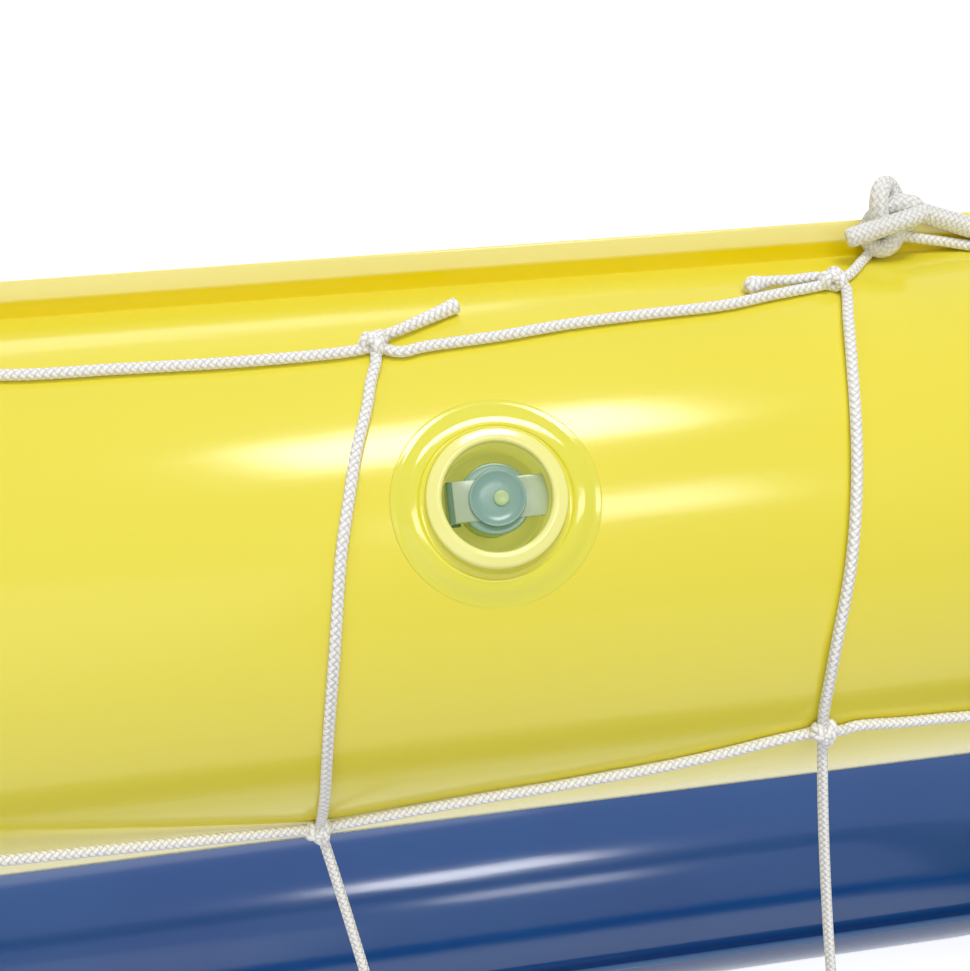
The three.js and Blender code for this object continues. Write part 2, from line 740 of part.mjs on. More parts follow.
function collarSolid(side) {
  const at = side * floatHalfX;
  const outer = archRadius + collarReach;
  const tall = 3 * floatRadius;
  const ring = solid(disc(outer, floatRadius, tall, tubeSides).translate(at, 0, 0));
  const postRoom = solid(disc(archRadius + touchGap, 0, tall + cutOverrun, tubeSides).translate(at, 0, 0));
  const flangeReach = archRadius + flangeWidth + touchGap;
  const flangeRoom = solid(
    block(-flangeReach, flangeReach, flangeThickness / 2 + touchGap, 0, tall).translate(at, 0, 0));
  const sheet = (grow) => {
    const skin = new THREE.CylinderGeometry(floatRadius + grow, floatRadius + grow, 4 * outer, tubeSides);
    return solid(skin.translate(at, 0, floatRadius));
  };
  const cover = sheet(touchGap + collarThick).subtract(sheet(touchGap));
  const hang = solid(block(-outer, outer, 2 * outer, floatRadius + flangeWidth, tall).translate(at, 0, 0));
  return cover.intersect(ring).intersect(hang).subtract(postRoom).subtract(flangeRoom);
}

// The edge rope lies on the crossbar's flange from one tie to the next on each side
const ropeRadius = 2.1;
const ropeEndGap = 7.6;
const ropeSides = 8;

function edgeRope(side) {
  const z = crossbarZ + archRadius + flangeWidth + ropeRadius + touchGap;
  const [from, to] = tieAlongs;
  const path = new THREE.LineCurve3(
    new THREE.Vector3(side * (from + ropeEndGap), 0, z), new THREE.Vector3(side * (to - ropeEndGap), 0, z));
  const outline = new THREE.Shape(
    Array.from({ length: ropeSides }, (_, i) => {
      const turn = ((i + 1 / 2) / ropeSides) * 2 * Math.PI;
      return new THREE.Vector2(ropeRadius * Math.cos(turn), ropeRadius * Math.sin(turn));
    }));
  return new THREE.ExtrudeGeometry(outline, { steps: 1, bevelEnabled: false, extrudePath: path });
}

// Assembly
const goal = new THREE.Group();

function add(name, geometry, material, place) {
  const clean = bare(geometry);
  clean.computeVertexNormals();
  const mesh = new THREE.Mesh(clean, material);
  mesh.name = name;
  if (place) mesh.applyMatrix4(place);
  goal.add(mesh);
}

add('float_chamber', fromSolid(floatBody), blueVinyl);
add('arch_chamber', fromSolid(archBody), yellowVinyl);
add('post_collar_left', fromSolid(collarSolid(-1)), yellowVinyl);
add('post_collar_right', fromSolid(collarSolid(1)), yellowVinyl);

for (const { name, skinRadius, place } of valves) {
  add(`${name}_skirt`, fromSolid(skirtSolid(skinPiece(skinRadius))), clearVinyl, place);
  add(`${name}_stem`, fromSolid(stemSolid()), valvePvc, place);
  add(`${name}_strap`, strapGeometry(), valvePvc, place);
  add(`${name}_plug`, fromSolid(plugSolid()), valvePvc, place);
  add(`${name}_flap`, flapGeometry(), valvePvc, place);
}

const lastColumn = halfColumns - 0.5 + sideMeshes(netRows);
add('net_back', netPart(0.5 - halfColumns, halfColumns - 0.5, 0, false), whiteCord);
add('net_side_left', netPart(halfColumns + 0.5, lastColumn, -1, true), whiteCord);
add('net_side_right', netPart(halfColumns + 0.5, lastColumn, 1, true), whiteCord);

for (const { name, edge, out, up, knot } of ties) {
  add(name, tieGeometry(edge, out, up, knot), whiteCord);
}
add('edge_rope_left', edgeRope(-1), whiteCord);
add('edge_rope_right', edgeRope(1), whiteCord);

export default goal;
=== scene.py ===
# An inflatable water polo goal for the pool, seen from behind and above its crossbar.
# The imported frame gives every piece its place; each section below makes one piece as it looks.
from math import asin, atan2, ceil, copysign, cos, exp, hypot, pi, radians, sin, sqrt

import bmesh
import bpy
from bmesh.types import BMEdge, BMVert
from mathutils import Matrix, Vector
from mathutils.geometry import interpolate_bezier


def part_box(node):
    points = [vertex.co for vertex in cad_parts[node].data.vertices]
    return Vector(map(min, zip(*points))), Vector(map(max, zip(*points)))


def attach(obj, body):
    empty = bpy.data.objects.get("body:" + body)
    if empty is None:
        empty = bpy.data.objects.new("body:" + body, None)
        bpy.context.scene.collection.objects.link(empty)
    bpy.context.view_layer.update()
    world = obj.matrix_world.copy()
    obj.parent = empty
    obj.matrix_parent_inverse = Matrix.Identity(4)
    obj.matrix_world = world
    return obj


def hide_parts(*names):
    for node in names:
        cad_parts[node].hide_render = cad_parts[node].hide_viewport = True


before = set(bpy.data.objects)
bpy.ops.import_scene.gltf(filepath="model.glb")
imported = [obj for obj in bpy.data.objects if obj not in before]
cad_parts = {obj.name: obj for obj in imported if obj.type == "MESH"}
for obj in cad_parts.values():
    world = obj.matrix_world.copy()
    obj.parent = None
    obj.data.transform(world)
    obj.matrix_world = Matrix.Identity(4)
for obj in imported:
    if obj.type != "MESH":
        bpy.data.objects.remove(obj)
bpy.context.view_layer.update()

# The camera stands on the net side, a hand's breadth above the crossbar, and looks down at the
# valve on the bar's back. Its lens is 1200 pixels long in an image of 970 by 971 pixels.
IMAGE_WIDTH, IMAGE_HEIGHT, LENS_PIXELS = 970, 971, 1200
SENSOR_MM, NEAR_CLIP = 36, 0.01
x_way, y_way, z_way = Vector((1, 0, 0)), Vector((0, 1, 0)), Vector((0, 0, 1))
eye = Vector((-0.0439, 0.2503, 0.7385))
yaw, pitch, roll = (radians(degrees) for degrees in (-7.45, -28.5, -1.85))

ahead = Vector((sin(yaw) * cos(pitch), -cos(yaw) * cos(pitch), sin(pitch)))
level = ahead.cross(z_way).normalized()
above = level.cross(ahead)
right = cos(roll) * level + sin(roll) * above
up = cos(roll) * above - sin(roll) * level

camera_data = bpy.data.cameras.new("camera")
camera_data.sensor_width = SENSOR_MM
camera_data.lens = SENSOR_MM * LENS_PIXELS / IMAGE_WIDTH
camera_data.clip_start = NEAR_CLIP
camera = bpy.data.objects.new("camera", camera_data)
camera.matrix_world = Matrix.Translation(eye) @ Matrix((right, up, -ahead)).transposed().to_4x4()
bpy.context.scene.collection.objects.link(camera)
bpy.context.scene.camera = camera
bpy.context.scene.view_settings.view_transform = "Standard"


def ray(x, y):
    """The direction from the camera through a pixel of the image."""
    across = (x - IMAGE_WIDTH / 2) / LENS_PIXELS
    down = (y - IMAGE_HEIGHT / 2) / LENS_PIXELS
    return (ahead + right * across - up * down).normalized()


# The studio is a pale floor under a plain white sky, with soft boxes overhead. The floor takes
# the goal's shadow, and the sky is white only where it is seen directly or in a reflection.
FLOOR_HALF, SKY_LEVEL, FLOOR_GLOW = 12, 0.50, 0.80


def linear(code):
    """An sRGB hex colour as linear red, green, blue and a full alpha."""
    shares = [int(code[i:i + 2], 16) / 255 for i in (1, 3, 5)]
    return [s / 12.92 if s <= 0.04045 else ((s + 0.055) / 1.055) ** 2.4 for s in shares] + [1]


def add_node(tree, kind, values=None, links=None, **settings):
    """Adds a node with its settings, values and links; a linked node means its first output."""
    made = tree.nodes.new("ShaderNode" + kind)
    for name, value in settings.items():
        setattr(made, name, value)
    for key, value in (values or {}).items():
        made.inputs[key].default_value = value
    for key, source in (links or {}).items():
        socket = source.outputs[0] if isinstance(source, bpy.types.Node) else source
        tree.links.new(socket, made.inputs[key])
    return made


def start_material(name):
    """A new material with an empty tree."""
    material = bpy.data.materials.new(name)
    material.use_nodes = True
    material.node_tree.nodes.clear()
    return material, material.node_tree


def to_object(bm, name):
    """An object in the scene from a bmesh, which is used up."""
    mesh = bpy.data.meshes.new(name)
    bm.to_mesh(mesh)
    bm.free()
    made = bpy.data.objects.new(name, mesh)
    bpy.context.scene.collection.objects.link(made)
    return made


def seen_directly(tree):
    """One where a camera, mirror or glass ray looks, and nought for the light that falls."""
    path = add_node(tree, "LightPath")
    either = add_node(tree, "Math", links={0: path.outputs["Is Camera Ray"],
                                           1: path.outputs["Is Glossy Ray"]}, operation="MAXIMUM")
    return add_node(tree, "Math", links={0: either, 1: path.outputs["Is Transmission Ray"]},
                    operation="MAXIMUM")


world = bpy.data.worlds.new("white sky")
world.use_nodes = True
sky = world.node_tree
sky.nodes.clear()
sky_level = add_node(sky, "MapRange", {"To Min": SKY_LEVEL, "To Max": 1.0},
                     {"Value": seen_directly(sky)})
sky_light = add_node(sky, "Background", {"Color": (1, 1, 1, 1)}, {"Strength": sky_level})
add_node(sky, "OutputWorld", links={"Surface": sky_light})
bpy.context.scene.world = world

# Matt paint: it takes a soft shadow and mirrors nothing
floor_paint, tree = start_material("pale studio floor")
matt = add_node(tree, "BsdfPrincipled", {"Base Color": linear("#F4F4F4"), "Roughness": 0.9})
glow_level = add_node(tree, "Math", {1: FLOOR_GLOW}, {0: seen_directly(tree)}, operation="MULTIPLY")
glow = add_node(tree, "Emission", {"Color": (1, 1, 1, 1)}, {"Strength": glow_level})
both = add_node(tree, "AddShader", links={0: matt, 1: glow})
add_node(tree, "OutputMaterial", links={"Surface": both})

bm = bmesh.new()
bmesh.ops.create_grid(bm, x_segments=2, y_segments=2, size=FLOOR_HALF)
floor = to_object(bm, "floor")
floor.data.materials.append(floor_paint)

# Soft boxes: name, place, the point each one faces, its width and depth in metres and its watts
SOFT_BOXES = (
    ("overhead strip", (-0.22, 0.51, 2.04), (-0.07, 0.042, 0.636), 0.60, 0.34, 9.6),
    ("front strip", (-0.38, 1.19, 1.52), (-0.07, 0.053, 0.624), 0.45, 0.22, 2.2),
    ("net side box", (1.6, 3.0, 1.3), (0.0, 0.1, 0.4), 3.2, 2.2, 13.0),
    ("mouth side box", (0.6, -2.4, 2.2), (0.0, 0.0, 0.3), 2.2, 1.6, 18.0),
)
for name, place, target, width, depth, watts in SOFT_BOXES:
    lamp = bpy.data.lights.new(name, "AREA")
    lamp.shape = "RECTANGLE"
    lamp.size, lamp.size_y, lamp.energy = width, depth, watts
    box = bpy.data.objects.new(name, lamp)
    box.location = place
    box.rotation_euler = (Vector(target) - Vector(place)).to_track_quat("-Z", "Y").to_euler()
    bpy.context.scene.collection.objects.link(box)

# The two air chambers are calendered vinyl sheet, welded along a flange on both sides and blown
# up tight. The film is glossy and faintly grained. The flange's root is painted deep yellow as
# shade between flange and tube, and its outer strip is painted paler as light coming through the
# thin film.
FLANGE_WIDTH, FLANGE_HALF, WELD_ROOT = 0.008, 0.0006, 0.0006
ARCH_CORNER, FLOAT_CORNER = 0.130, 0.150
TUBE_SIDES, TUBE_SHARP, RING_JOIN = 96, 60, 0.00005

# The sheet's colour drifts over about 140 mm, its grain is 0.45 mm, and the rollers left streaks
# 60 mm long. Bumps are a strength and a depth; shares say where the weld's painted root shade and
# its painted pale strip begin and end.
DRIFTS_PER_METRE, GRAIN_MM, STREAK_MM = 7.0, 0.45, (60, 5, 5)
GRAIN_BUMP, STREAK_BUMP = (0.10, 0.00004), (0.25, 0.0002)
ROOT_SHADE_SHARES, WELD_SHARES, ROUGH_SPREAD = (0.02, 0.12), (0.46, 0.54), 0.05


def vinyl(name, film, deep, weld, painted_root_shade, rough=0.14):
    """Calendered vinyl: a film colour that drifts a little, painted shade at the weld's root, and a
    painted pale strip of light through its outer edge.
    """
    material, tree = start_material(name)
    place = add_node(tree, "TexCoord").outputs["Object"]
    drift = add_node(tree, "TexNoise", {"Scale": DRIFTS_PER_METRE, "Detail": 2.0, "Roughness": 0.4},
                     {"Vector": place})
    drift_level = add_node(tree, "MapRange", {"From Min": 0.3, "From Max": 0.7}, {0: drift})
    tone = add_node(tree, "Mix", {6: linear(film), 7: linear(deep)}, {0: drift_level},
                    data_type="RGBA")
    across = add_node(tree, "Attribute", attribute_name="across").outputs["Fac"]
    # Painted shade and light: the flange's root band is painted deep, its outer strip painted pale
    for shares, colour in ((ROOT_SHADE_SHARES, painted_root_shade), (WELD_SHARES, weld)):
        within = add_node(tree, "MapRange", {"From Min": shares[0], "From Max": shares[1]},
                          {0: across})
        tone = add_node(tree, "Mix", {7: linear(colour)},
                        {0: within, 6: tone.outputs[2]}, data_type="RGBA")
    grain = add_node(tree, "TexNoise", {"Scale": 1000 / GRAIN_MM, "Detail": 1.0}, {"Vector": place})
    grain_bump = add_node(tree, "Bump", {"Strength": GRAIN_BUMP[0], "Distance": GRAIN_BUMP[1]},
                          {"Height": grain})
    stretched = add_node(tree, "Mapping", {"Scale": [1000 / mm for mm in STREAK_MM]},
                         {"Vector": place})
    streaks = add_node(tree, "TexNoise", {"Scale": 1.0, "Detail": 3.0}, {"Vector": stretched})
    bump = add_node(tree, "Bump", {"Strength": STREAK_BUMP[0], "Distance": STREAK_BUMP[1]},
                    {"Height": streaks, "Normal": grain_bump})
    gloss = add_node(tree, "MapRange", {"To Min": rough, "To Max": rough + ROUGH_SPREAD},
                     {0: streaks})
    shader = add_node(tree, "BsdfPrincipled", {"IOR": 1.53, "Specular IOR Level": 0.55},
                      {"Base Color": tone.outputs[2], "Roughness": gloss, "Normal": bump})
    add_node(tree, "OutputMaterial", links={"Surface": shader})
    return material


# Film that is rolled out hot: glossy, with a grain and streaks that soften each highlight's edge
# The last two colours of each are the weld's painted pale strip and its painted root shade
yellow_vinyl = vinyl("yellow calendered vinyl", "#EDE046", "#EADB38", "#F5E88A", "#ECD300")
blue_vinyl = vinyl("blue calendered vinyl", "#104E94", "#0E468E", "#4A74AC", "#1A4284")


def add_piece(bm, name, body, material, nodes=(), sharp=40):
    """A finished piece from a bmesh: it rides on a body and stands for its nodes."""
    bmesh.ops.recalc_face_normals(bm, faces=bm.faces)
    piece = to_object(bm, name)
    piece.data.shade_smooth()
    piece.data.set_sharp_from_angle(angle=radians(sharp))
    piece.data.materials.append(material)
    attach(piece, body)
    if nodes:
        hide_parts(*nodes)
    return piece


arch_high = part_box("arch_chamber")[1]
float_low, float_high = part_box("float_chamber")
arch_radius = arch_high.y
float_radius = (float_high.z - float_low.z) / 2
bar_z = arch_high.z - FLANGE_WIDTH - arch_radius
post_x = arch_high.x - FLANGE_WIDTH - arch_radius
float_y = float_high.y - FLANGE_WIDTH - float_radius
float_x = float_high.x - FLANGE_WIDTH - float_radius


def ring_edges(verts):
    """The verts of a ring with the edges between them, as the operators want them."""
    return list(verts) + list({edge for vert in verts for edge in vert.link_edges})


def only(parts, kind):
    """The verts or the edges among the parts that an operator returns."""
    return [part for part in parts if isinstance(part, kind)]


def carry(bm, ring, legs):
    """Carries a ring along straight legs (step, count) and bends (centre, axis, angle, count)."""
    for leg in legs:
        step = leg[0] if len(leg) == 2 else (0, 0, 0)
        centre, axis, angle = leg[:3] if len(leg) == 4 else ((0, 0, 0), z_way, 0)
        ring = bmesh.ops.spin(bm, geom=ring, cent=centre, axis=axis, dvec=step, angle=angle,
                              steps=leg[-1])["geom_last"]
    return ring


def flange_ring(bm, root, tip, side_way):
    """A thin loop across a weld flange from its root to its tip, marked by how far across it is."""
    across = bm.verts.layers.float.get("across") or bm.verts.layers.float.new("across")
    shares = (0, 0.1, 0.5, 0.93, 1)
    points = [(s, FLANGE_HALF if s < 1 else FLANGE_HALF / 3) for s in shares]
    points += [(s, -h) for s, h in reversed(points)]
    verts = []
    for share, height in points:
        vert = bm.verts.new(root.lerp(tip, share) + side_way * height)
        vert[across] = share
        verts.append(vert)
    for i, vert in enumerate(verts):
        bm.edges.new((vert, verts[(i + 1) % len(verts)]))
    return ring_edges(verts)


# The arch rises from the float in two posts, bends and crosses over as the bar. Each foot is cut
# to the float's round top, and the tight side of each bend is gathered into short creases.
FOOT_Z, FOOT_GAP = 0.165, 0.0003
POST_STEPS, CORNER_STEPS, RIGHT_STEPS, VALVE_STEPS, LEFT_STEPS = 30, 48, 32, 78, 24
FINE_LEFT, FINE_RIGHT = -0.21, 0.10

# Creases to a bend and their depth, and how far round the tube and the bend they fade in
CREASES, CREASE_DEPTH, CREASE_MEAN = 8, 0.0030, 0.35
TIGHT_START, TIGHT_FADE, BEND_EASE, BEND_FADE = 0.25, 0.6, 0.12, 0.3

bend_x = post_x - ARCH_CORNER
bend_z = bar_z - ARCH_CORNER
quarter = pi / 2
arch_legs = (
    (z_way * ((bend_z - FOOT_Z) / POST_STEPS), POST_STEPS),
    (Vector((bend_x, 0, bend_z)), -y_way, quarter, CORNER_STEPS),
    (x_way * ((FINE_RIGHT - bend_x) / RIGHT_STEPS), RIGHT_STEPS),
    (x_way * ((FINE_LEFT - FINE_RIGHT) / VALVE_STEPS), VALVE_STEPS),
    (x_way * ((-bend_x - FINE_LEFT) / LEFT_STEPS), LEFT_STEPS),
    (Vector((-bend_x, 0, bend_z)), -y_way, quarter, CORNER_STEPS),
    (z_way * ((FOOT_Z - bend_z) / POST_STEPS), POST_STEPS),
)


def seat_feet(bm, rings):
    """Adds the last ring of each foot, which follows the float's round top."""
    for ring in rings:
        made = bmesh.ops.extrude_edge_only(bm, edges=only(ring, BMEdge))["geom"]
        for vert in only(made, BMVert):
            off = abs(vert.co.x) - post_x
            vert.co.z = float_radius + sqrt(max(0, (float_radius + FOOT_GAP) ** 2 - off * off))


def gathered(out, on, corner, tube):
    """How far round a bend a place is, and how far the creases on its tight side move it."""
    turn = atan2(on, out)
    facing = (corner - hypot(out, on)) / tube
    tight = min(1, max(0, (facing - TIGHT_START) / TIGHT_FADE))
    wave = (0.5 + 0.5 * cos(2 * pi * CREASES * turn / quarter)) ** 3
    push = CREASE_DEPTH * tight ** 1.5 * (CREASE_MEAN - wave)
    for past in (turn, quarter - turn):
        push *= min(1, max(0, (past + BEND_EASE) / BEND_FADE))
    return turn, push


bm = bmesh.new()
made = bmesh.ops.create_circle(bm, segments=TUBE_SIDES, radius=arch_radius,
                               matrix=Matrix.Translation((post_x, 0, FOOT_Z)))
first = ring_edges(made["verts"])
last = carry(bm, first, arch_legs)
seat_feet(bm, (first, last))
for vert in bm.verts:
    side = copysign(1, vert.co.x)
    turn, push = gathered(side * vert.co.x - bend_x, vert.co.z - bend_z, ARCH_CORNER, arch_radius)
    middle = Vector((side * (bend_x + ARCH_CORNER * cos(turn)), 0,
                     bend_z + ARCH_CORNER * sin(turn)))
    vert.co += (vert.co - middle).normalized() * push
bmesh.ops.holes_fill(bm, edges=[edge for edge in bm.edges if edge.is_boundary])
arch_tube = add_piece(bm, "arch_tube", "goal", yellow_vinyl, ("arch_chamber",),
                      TUBE_SHARP)

bm = bmesh.new()
for way in (1, -1):
    root = Vector((post_x + way * (arch_radius - WELD_ROOT), 0, FOOT_Z))
    tip = Vector((post_x + way * (arch_radius + FLANGE_WIDTH), 0, FOOT_Z))
    first = flange_ring(bm, root, tip, y_way)
    last = carry(bm, first, arch_legs)
    seat_feet(bm, (first, last))
bmesh.ops.holes_fill(bm, edges=[edge for edge in bm.edges if edge.is_boundary])
add_piece(bm, "arch_weld", "goal", yellow_vinyl)

# The float is a ring of the same sheet in blue, laid flat on the water. Its four bends are
# creased on the inside like the arch's.
ring_x, ring_y = float_x - FLOAT_CORNER, float_y - FLOAT_CORNER
SIDE_STEPS, END_STEPS, BEND_STEPS = 24, 48, 40

float_legs = ()
for way in (1, -1):
    near_bend, far_bend = (Vector((x * way * ring_x, way * ring_y, 0)) for x in (1, -1))
    float_legs += (
        (y_way * (way * 2 * ring_y / SIDE_STEPS), SIDE_STEPS),
        (near_bend, z_way, quarter, BEND_STEPS),
        (x_way * (-way * 2 * ring_x / END_STEPS), END_STEPS),
        (far_bend, z_way, quarter, BEND_STEPS),
    )

bm = bmesh.new()
upright = (Matrix.Translation((float_x, -ring_y, float_radius))
           @ Matrix.Rotation(quarter, 4, "X"))
made = bmesh.ops.create_circle(bm, segments=TUBE_SIDES, radius=float_radius, matrix=upright)
carry(bm, ring_edges(made["verts"]), float_legs)
bmesh.ops.remove_doubles(bm, verts=bm.verts, dist=RING_JOIN)
for vert in bm.verts:
    turn, push = gathered(abs(vert.co.x) - ring_x, abs(vert.co.y) - ring_y,
                          FLOAT_CORNER, float_radius)
    middle = Vector((copysign(ring_x + FLOAT_CORNER * cos(turn), vert.co.x),
                     copysign(ring_y + FLOAT_CORNER * sin(turn), vert.co.y),
                     float_radius))
    vert.co += (vert.co - middle).normalized() * push
float_tube = add_piece(bm, "float_tube", "goal", blue_vinyl, ("float_chamber",),
                       TUBE_SHARP)

bm = bmesh.new()
for way in (1, -1):
    root = Vector((float_x + way * (float_radius - WELD_ROOT), -ring_y, float_radius))
    tip = Vector((float_x + way * (float_radius + FLANGE_WIDTH), -ring_y, float_radius))
    carry(bm, flange_ring(bm, root, tip, z_way), float_legs)
bmesh.ops.remove_doubles(bm, verts=bm.verts, dist=RING_JOIN)
add_piece(bm, "float_weld", "goal", blue_vinyl)

# A collar of yellow film is welded round the foot of each post, up the post and out over the
# float, where it is cut to a circle.
COLLAR_RISE, COLLAR_REACH, COLLAR_FILM, COLLAR_GAP = 0.007, 0.020, 0.0007, 0.0004
COLLAR_ROWS = (-COLLAR_RISE, -COLLAR_RISE / 2, 0.0015, 0.007, 0.014, COLLAR_REACH)

for side, word in ((-1, "left"), (1, "right")):
    bm = bmesh.new()
    rows = []
    for reach in COLLAR_ROWS:
        made = bmesh.ops.create_circle(bm, segments=TUBE_SIDES, radius=1)
        for vert in made["verts"]:
            cosine, sine = vert.co.x, vert.co.y
            out = max(0, reach)
            skin = float_radius + COLLAR_FILM
            wrap = asin(arch_radius * cosine / skin) + out * cosine / skin
            vert.co = (side * post_x + skin * sin(wrap), (arch_radius + COLLAR_GAP + out) * sine,
                       float_radius + skin * cos(wrap) + max(0, -reach))
        rows.append(only(ring_edges(made["verts"]), BMEdge))
    for inner, outer in zip(rows, rows[1:]):
        bmesh.ops.bridge_loops(bm, edges=inner + outer)
    collar = add_piece(bm, f"collar_film_{word}", "goal", yellow_vinyl,
                       (f"post_collar_{word}",))
    thicken = collar.modifiers.new("film", "SOLIDIFY")
    thicken.thickness, thicken.offset = COLLAR_FILM, 0

# Each chamber has a stopper valve. A skirt of clear film is welded over a hole in the tube and
# rolls up into a lip round the well, and a sleeve of the same film lines the well. Both are turned
# here from profiles in millimetres, and the skirt is then bent over the tube.
MM = 0.001
WELL_RADIUS, WELL_DEPTH = 12.2, 36
SKIRT_PROFILE = (
    (20.4, -0.2), (20.4, 0.3), (20.2, 0.42), (19.4, 0.42), (19.0, 0.45), (18.6, 0.53),
    (18.1, 0.67), (17.6, 0.79), (17.1, 0.87), (16.6, 0.9), (16.1, 0.89), (15.6, 0.86),
    (15.3, 0.81), (15.05, 0.68), (14.85, 0.48), (14.55, 0.38), (14.0, 0.4), (13.75, 0.7),
    (13.65, 1.5), (13.58, 2.1), (13.4, 2.35), (13.0, 2.48), (12.5, 2.6), (12.0, 2.71),
    (11.6, 2.77), (11.2, 2.75), (10.85, 2.6), (10.65, 2.3), (10.55, 1.8), (10.55, 0.6),
)
SKIRT_UNDERSIDE = ((11.6, 0.0), (12.6, -0.6), (17.0, -0.3))
SLEEVE_PROFILE = ((10.85, 0.8), (10.75, -4), (10.75, -24), (11.6, -24), (11.6, -3), (11.3, 0.8))
RING_REACH, BEND_FROM, BEND_OVER = 13.7, 13, 1.9
SKIRT_SIDES, VALVE_SIDES, AXIS_JOIN = 128, 64, 0.000002
# The well's film glows a little: painted light for the light that comes through the film
WELL_SHARP, PAINTED_FILM_GLOW = 50, 0.40


def valve_frame(origin, along, normal):
    """A valve's own frame: x runs along the tube, and z is the tube's outward normal."""
    turn = Matrix((along, normal.cross(along), normal)).transposed()
    return Matrix.Translation(origin) @ turn.to_4x4()


def turned(profile, sides, place):
    """Turns a profile of radius and height in millimetres, closed unless it starts on the axis."""
    bm = bmesh.new()
    verts = [bm.verts.new((r * MM, 0, z * MM)) for r, z in profile]
    after = verts[1:] + (verts[:1] if profile[0][0] else [])
    edges = [bm.edges.new(pair) for pair in zip(verts, after)]
    bmesh.ops.spin(bm, geom=verts + edges, cent=(0, 0, 0), axis=(0, 0, 1), dvec=(0, 0, 0),
                   angle=2 * pi, steps=sides, use_merge=True)
    bmesh.ops.remove_doubles(bm, verts=bm.verts, dist=AXIS_JOIN)
    bmesh.ops.transform(bm, matrix=place, verts=bm.verts)
    return bm


def smoothed(points, steps):
    """A round line through points, as many steps to each stretch."""
    line = []
    ends = [points[0]] + list(points) + [points[-1]]
    for before, a, b, after in zip(ends, ends[1:], ends[2:], ends[3:]):
        for i in range(steps):
            t = i / steps
            line.append(tuple(0.5 * (2 * q + (r - p) * t + (2 * p - 5 * q + 4 * r - s) * t * t
                                     + (3 * q - p - 3 * r + s) * t ** 3)
                              for p, q, r, s in zip(before, a, b, after)))
    return line + [tuple(points[-1])]


def cut_well(piece, place):
    """Cuts the valve's well into a chamber."""
    bm = bmesh.new()
    bmesh.ops.create_cone(bm, cap_ends=True, segments=TUBE_SIDES, radius1=WELL_RADIUS * MM,
                          radius2=WELL_RADIUS * MM, depth=2 * WELL_DEPTH * MM, matrix=place)
    cutter = to_object(bm, "well cutter")
    cut = piece.modifiers.new("well", "BOOLEAN")
    cut.operation, cut.object, cut.solver = "DIFFERENCE", cutter, "EXACT"
    shape = piece.evaluated_get(bpy.context.evaluated_depsgraph_get())
    piece.modifiers.clear()
    piece.data = bpy.data.meshes.new_from_object(shape)
    bpy.data.objects.remove(cutter)
    piece.data.shade_smooth()
    piece.data.set_sharp_from_angle(angle=radians(WELL_SHARP))


# The arch's valve is set up the bar from its packed place, as photographed. It moves along the
# stopper's hinge line, so the stopper swings true, and the skirt's edge moves half as far.
VALVE_TURN = radians(36.6)
VALVE_X, FLOAT_VALVE_Y = -0.072, -0.170
VALVE_RISE, EDGE_RISE = 1.2, 0.6
arch_normal = Vector((0, cos(VALVE_TURN), sin(VALVE_TURN)))
arch_valve = valve_frame(Vector((VALVE_X, 0, bar_z)) + arch_normal * arch_radius,
                         -x_way, arch_normal)
float_valve = valve_frame((float_x, FLOAT_VALVE_Y, 2 * float_radius), -y_way, z_way)
# Name, place, tube radius, tube, and the film's colours: two tones, the lip's and the well's, which
# glows as painted light
valves = (
    ("arch", arch_valve @ Matrix.Translation((0, VALVE_RISE * MM, 0)), arch_radius, arch_tube,
     ("#E6E04A", "#E2DB3C", "#F3EF90", "#CAC868")),
    ("float", float_valve, float_radius, float_tube, ("#4C76A8", "#3C6599", "#7C9CC2", "#3E68A0")),
)


def painted_glow_film(name, tint):
    """Thin clear film over the hollow chamber, with a painted glow that stands in for the light
    coming through it.
    """
    material, tree = start_material(name)
    shader = add_node(tree, "BsdfPrincipled",
                      {"Base Color": linear(tint), "Roughness": 0.2, "IOR": 1.53,
                       "Emission Color": linear(tint), "Emission Strength": PAINTED_FILM_GLOW})
    add_node(tree, "OutputMaterial", links={"Surface": shader})
    return material


for name, place, radius, tube, (film, deep, ring, well) in valves:
    cut_well(tube, place)
    # Clear film as the tube shows through it: glossier than the tube, and milky where it is rolled
    skirt_vinyl = vinyl(f"{name} skirt film", film, deep, ring, ring, 0.09)
    bm = turned(smoothed(SKIRT_PROFILE, 3) + list(SKIRT_UNDERSIDE), SKIRT_SIDES, Matrix())
    across = bm.verts.layers.float.new("across")
    for vert in bm.verts:
        reach = hypot(vert.co.x, vert.co.y) / MM
        vert[across] = 1 if reach < RING_REACH else 0
        share = min(1, max(0, (reach - BEND_FROM) / BEND_OVER))
        if name == "arch":
            vert.co.y -= (VALVE_RISE - EDGE_RISE) * MM * share
        drop = radius - sqrt(radius ** 2 - vert.co.y ** 2)
        vert.co.z -= drop * share * share * (3 - 2 * share)
    bmesh.ops.transform(bm, matrix=place, verts=bm.verts)
    add_piece(bm, f"{name}_skirt_film", "goal", skirt_vinyl,
              (f"{name}_valve_skirt",))

    add_piece(turned(SLEEVE_PROFILE, VALVE_SIDES, place), f"{name}_well_sleeve", "goal",
              painted_glow_film(f"{name} well film", well))

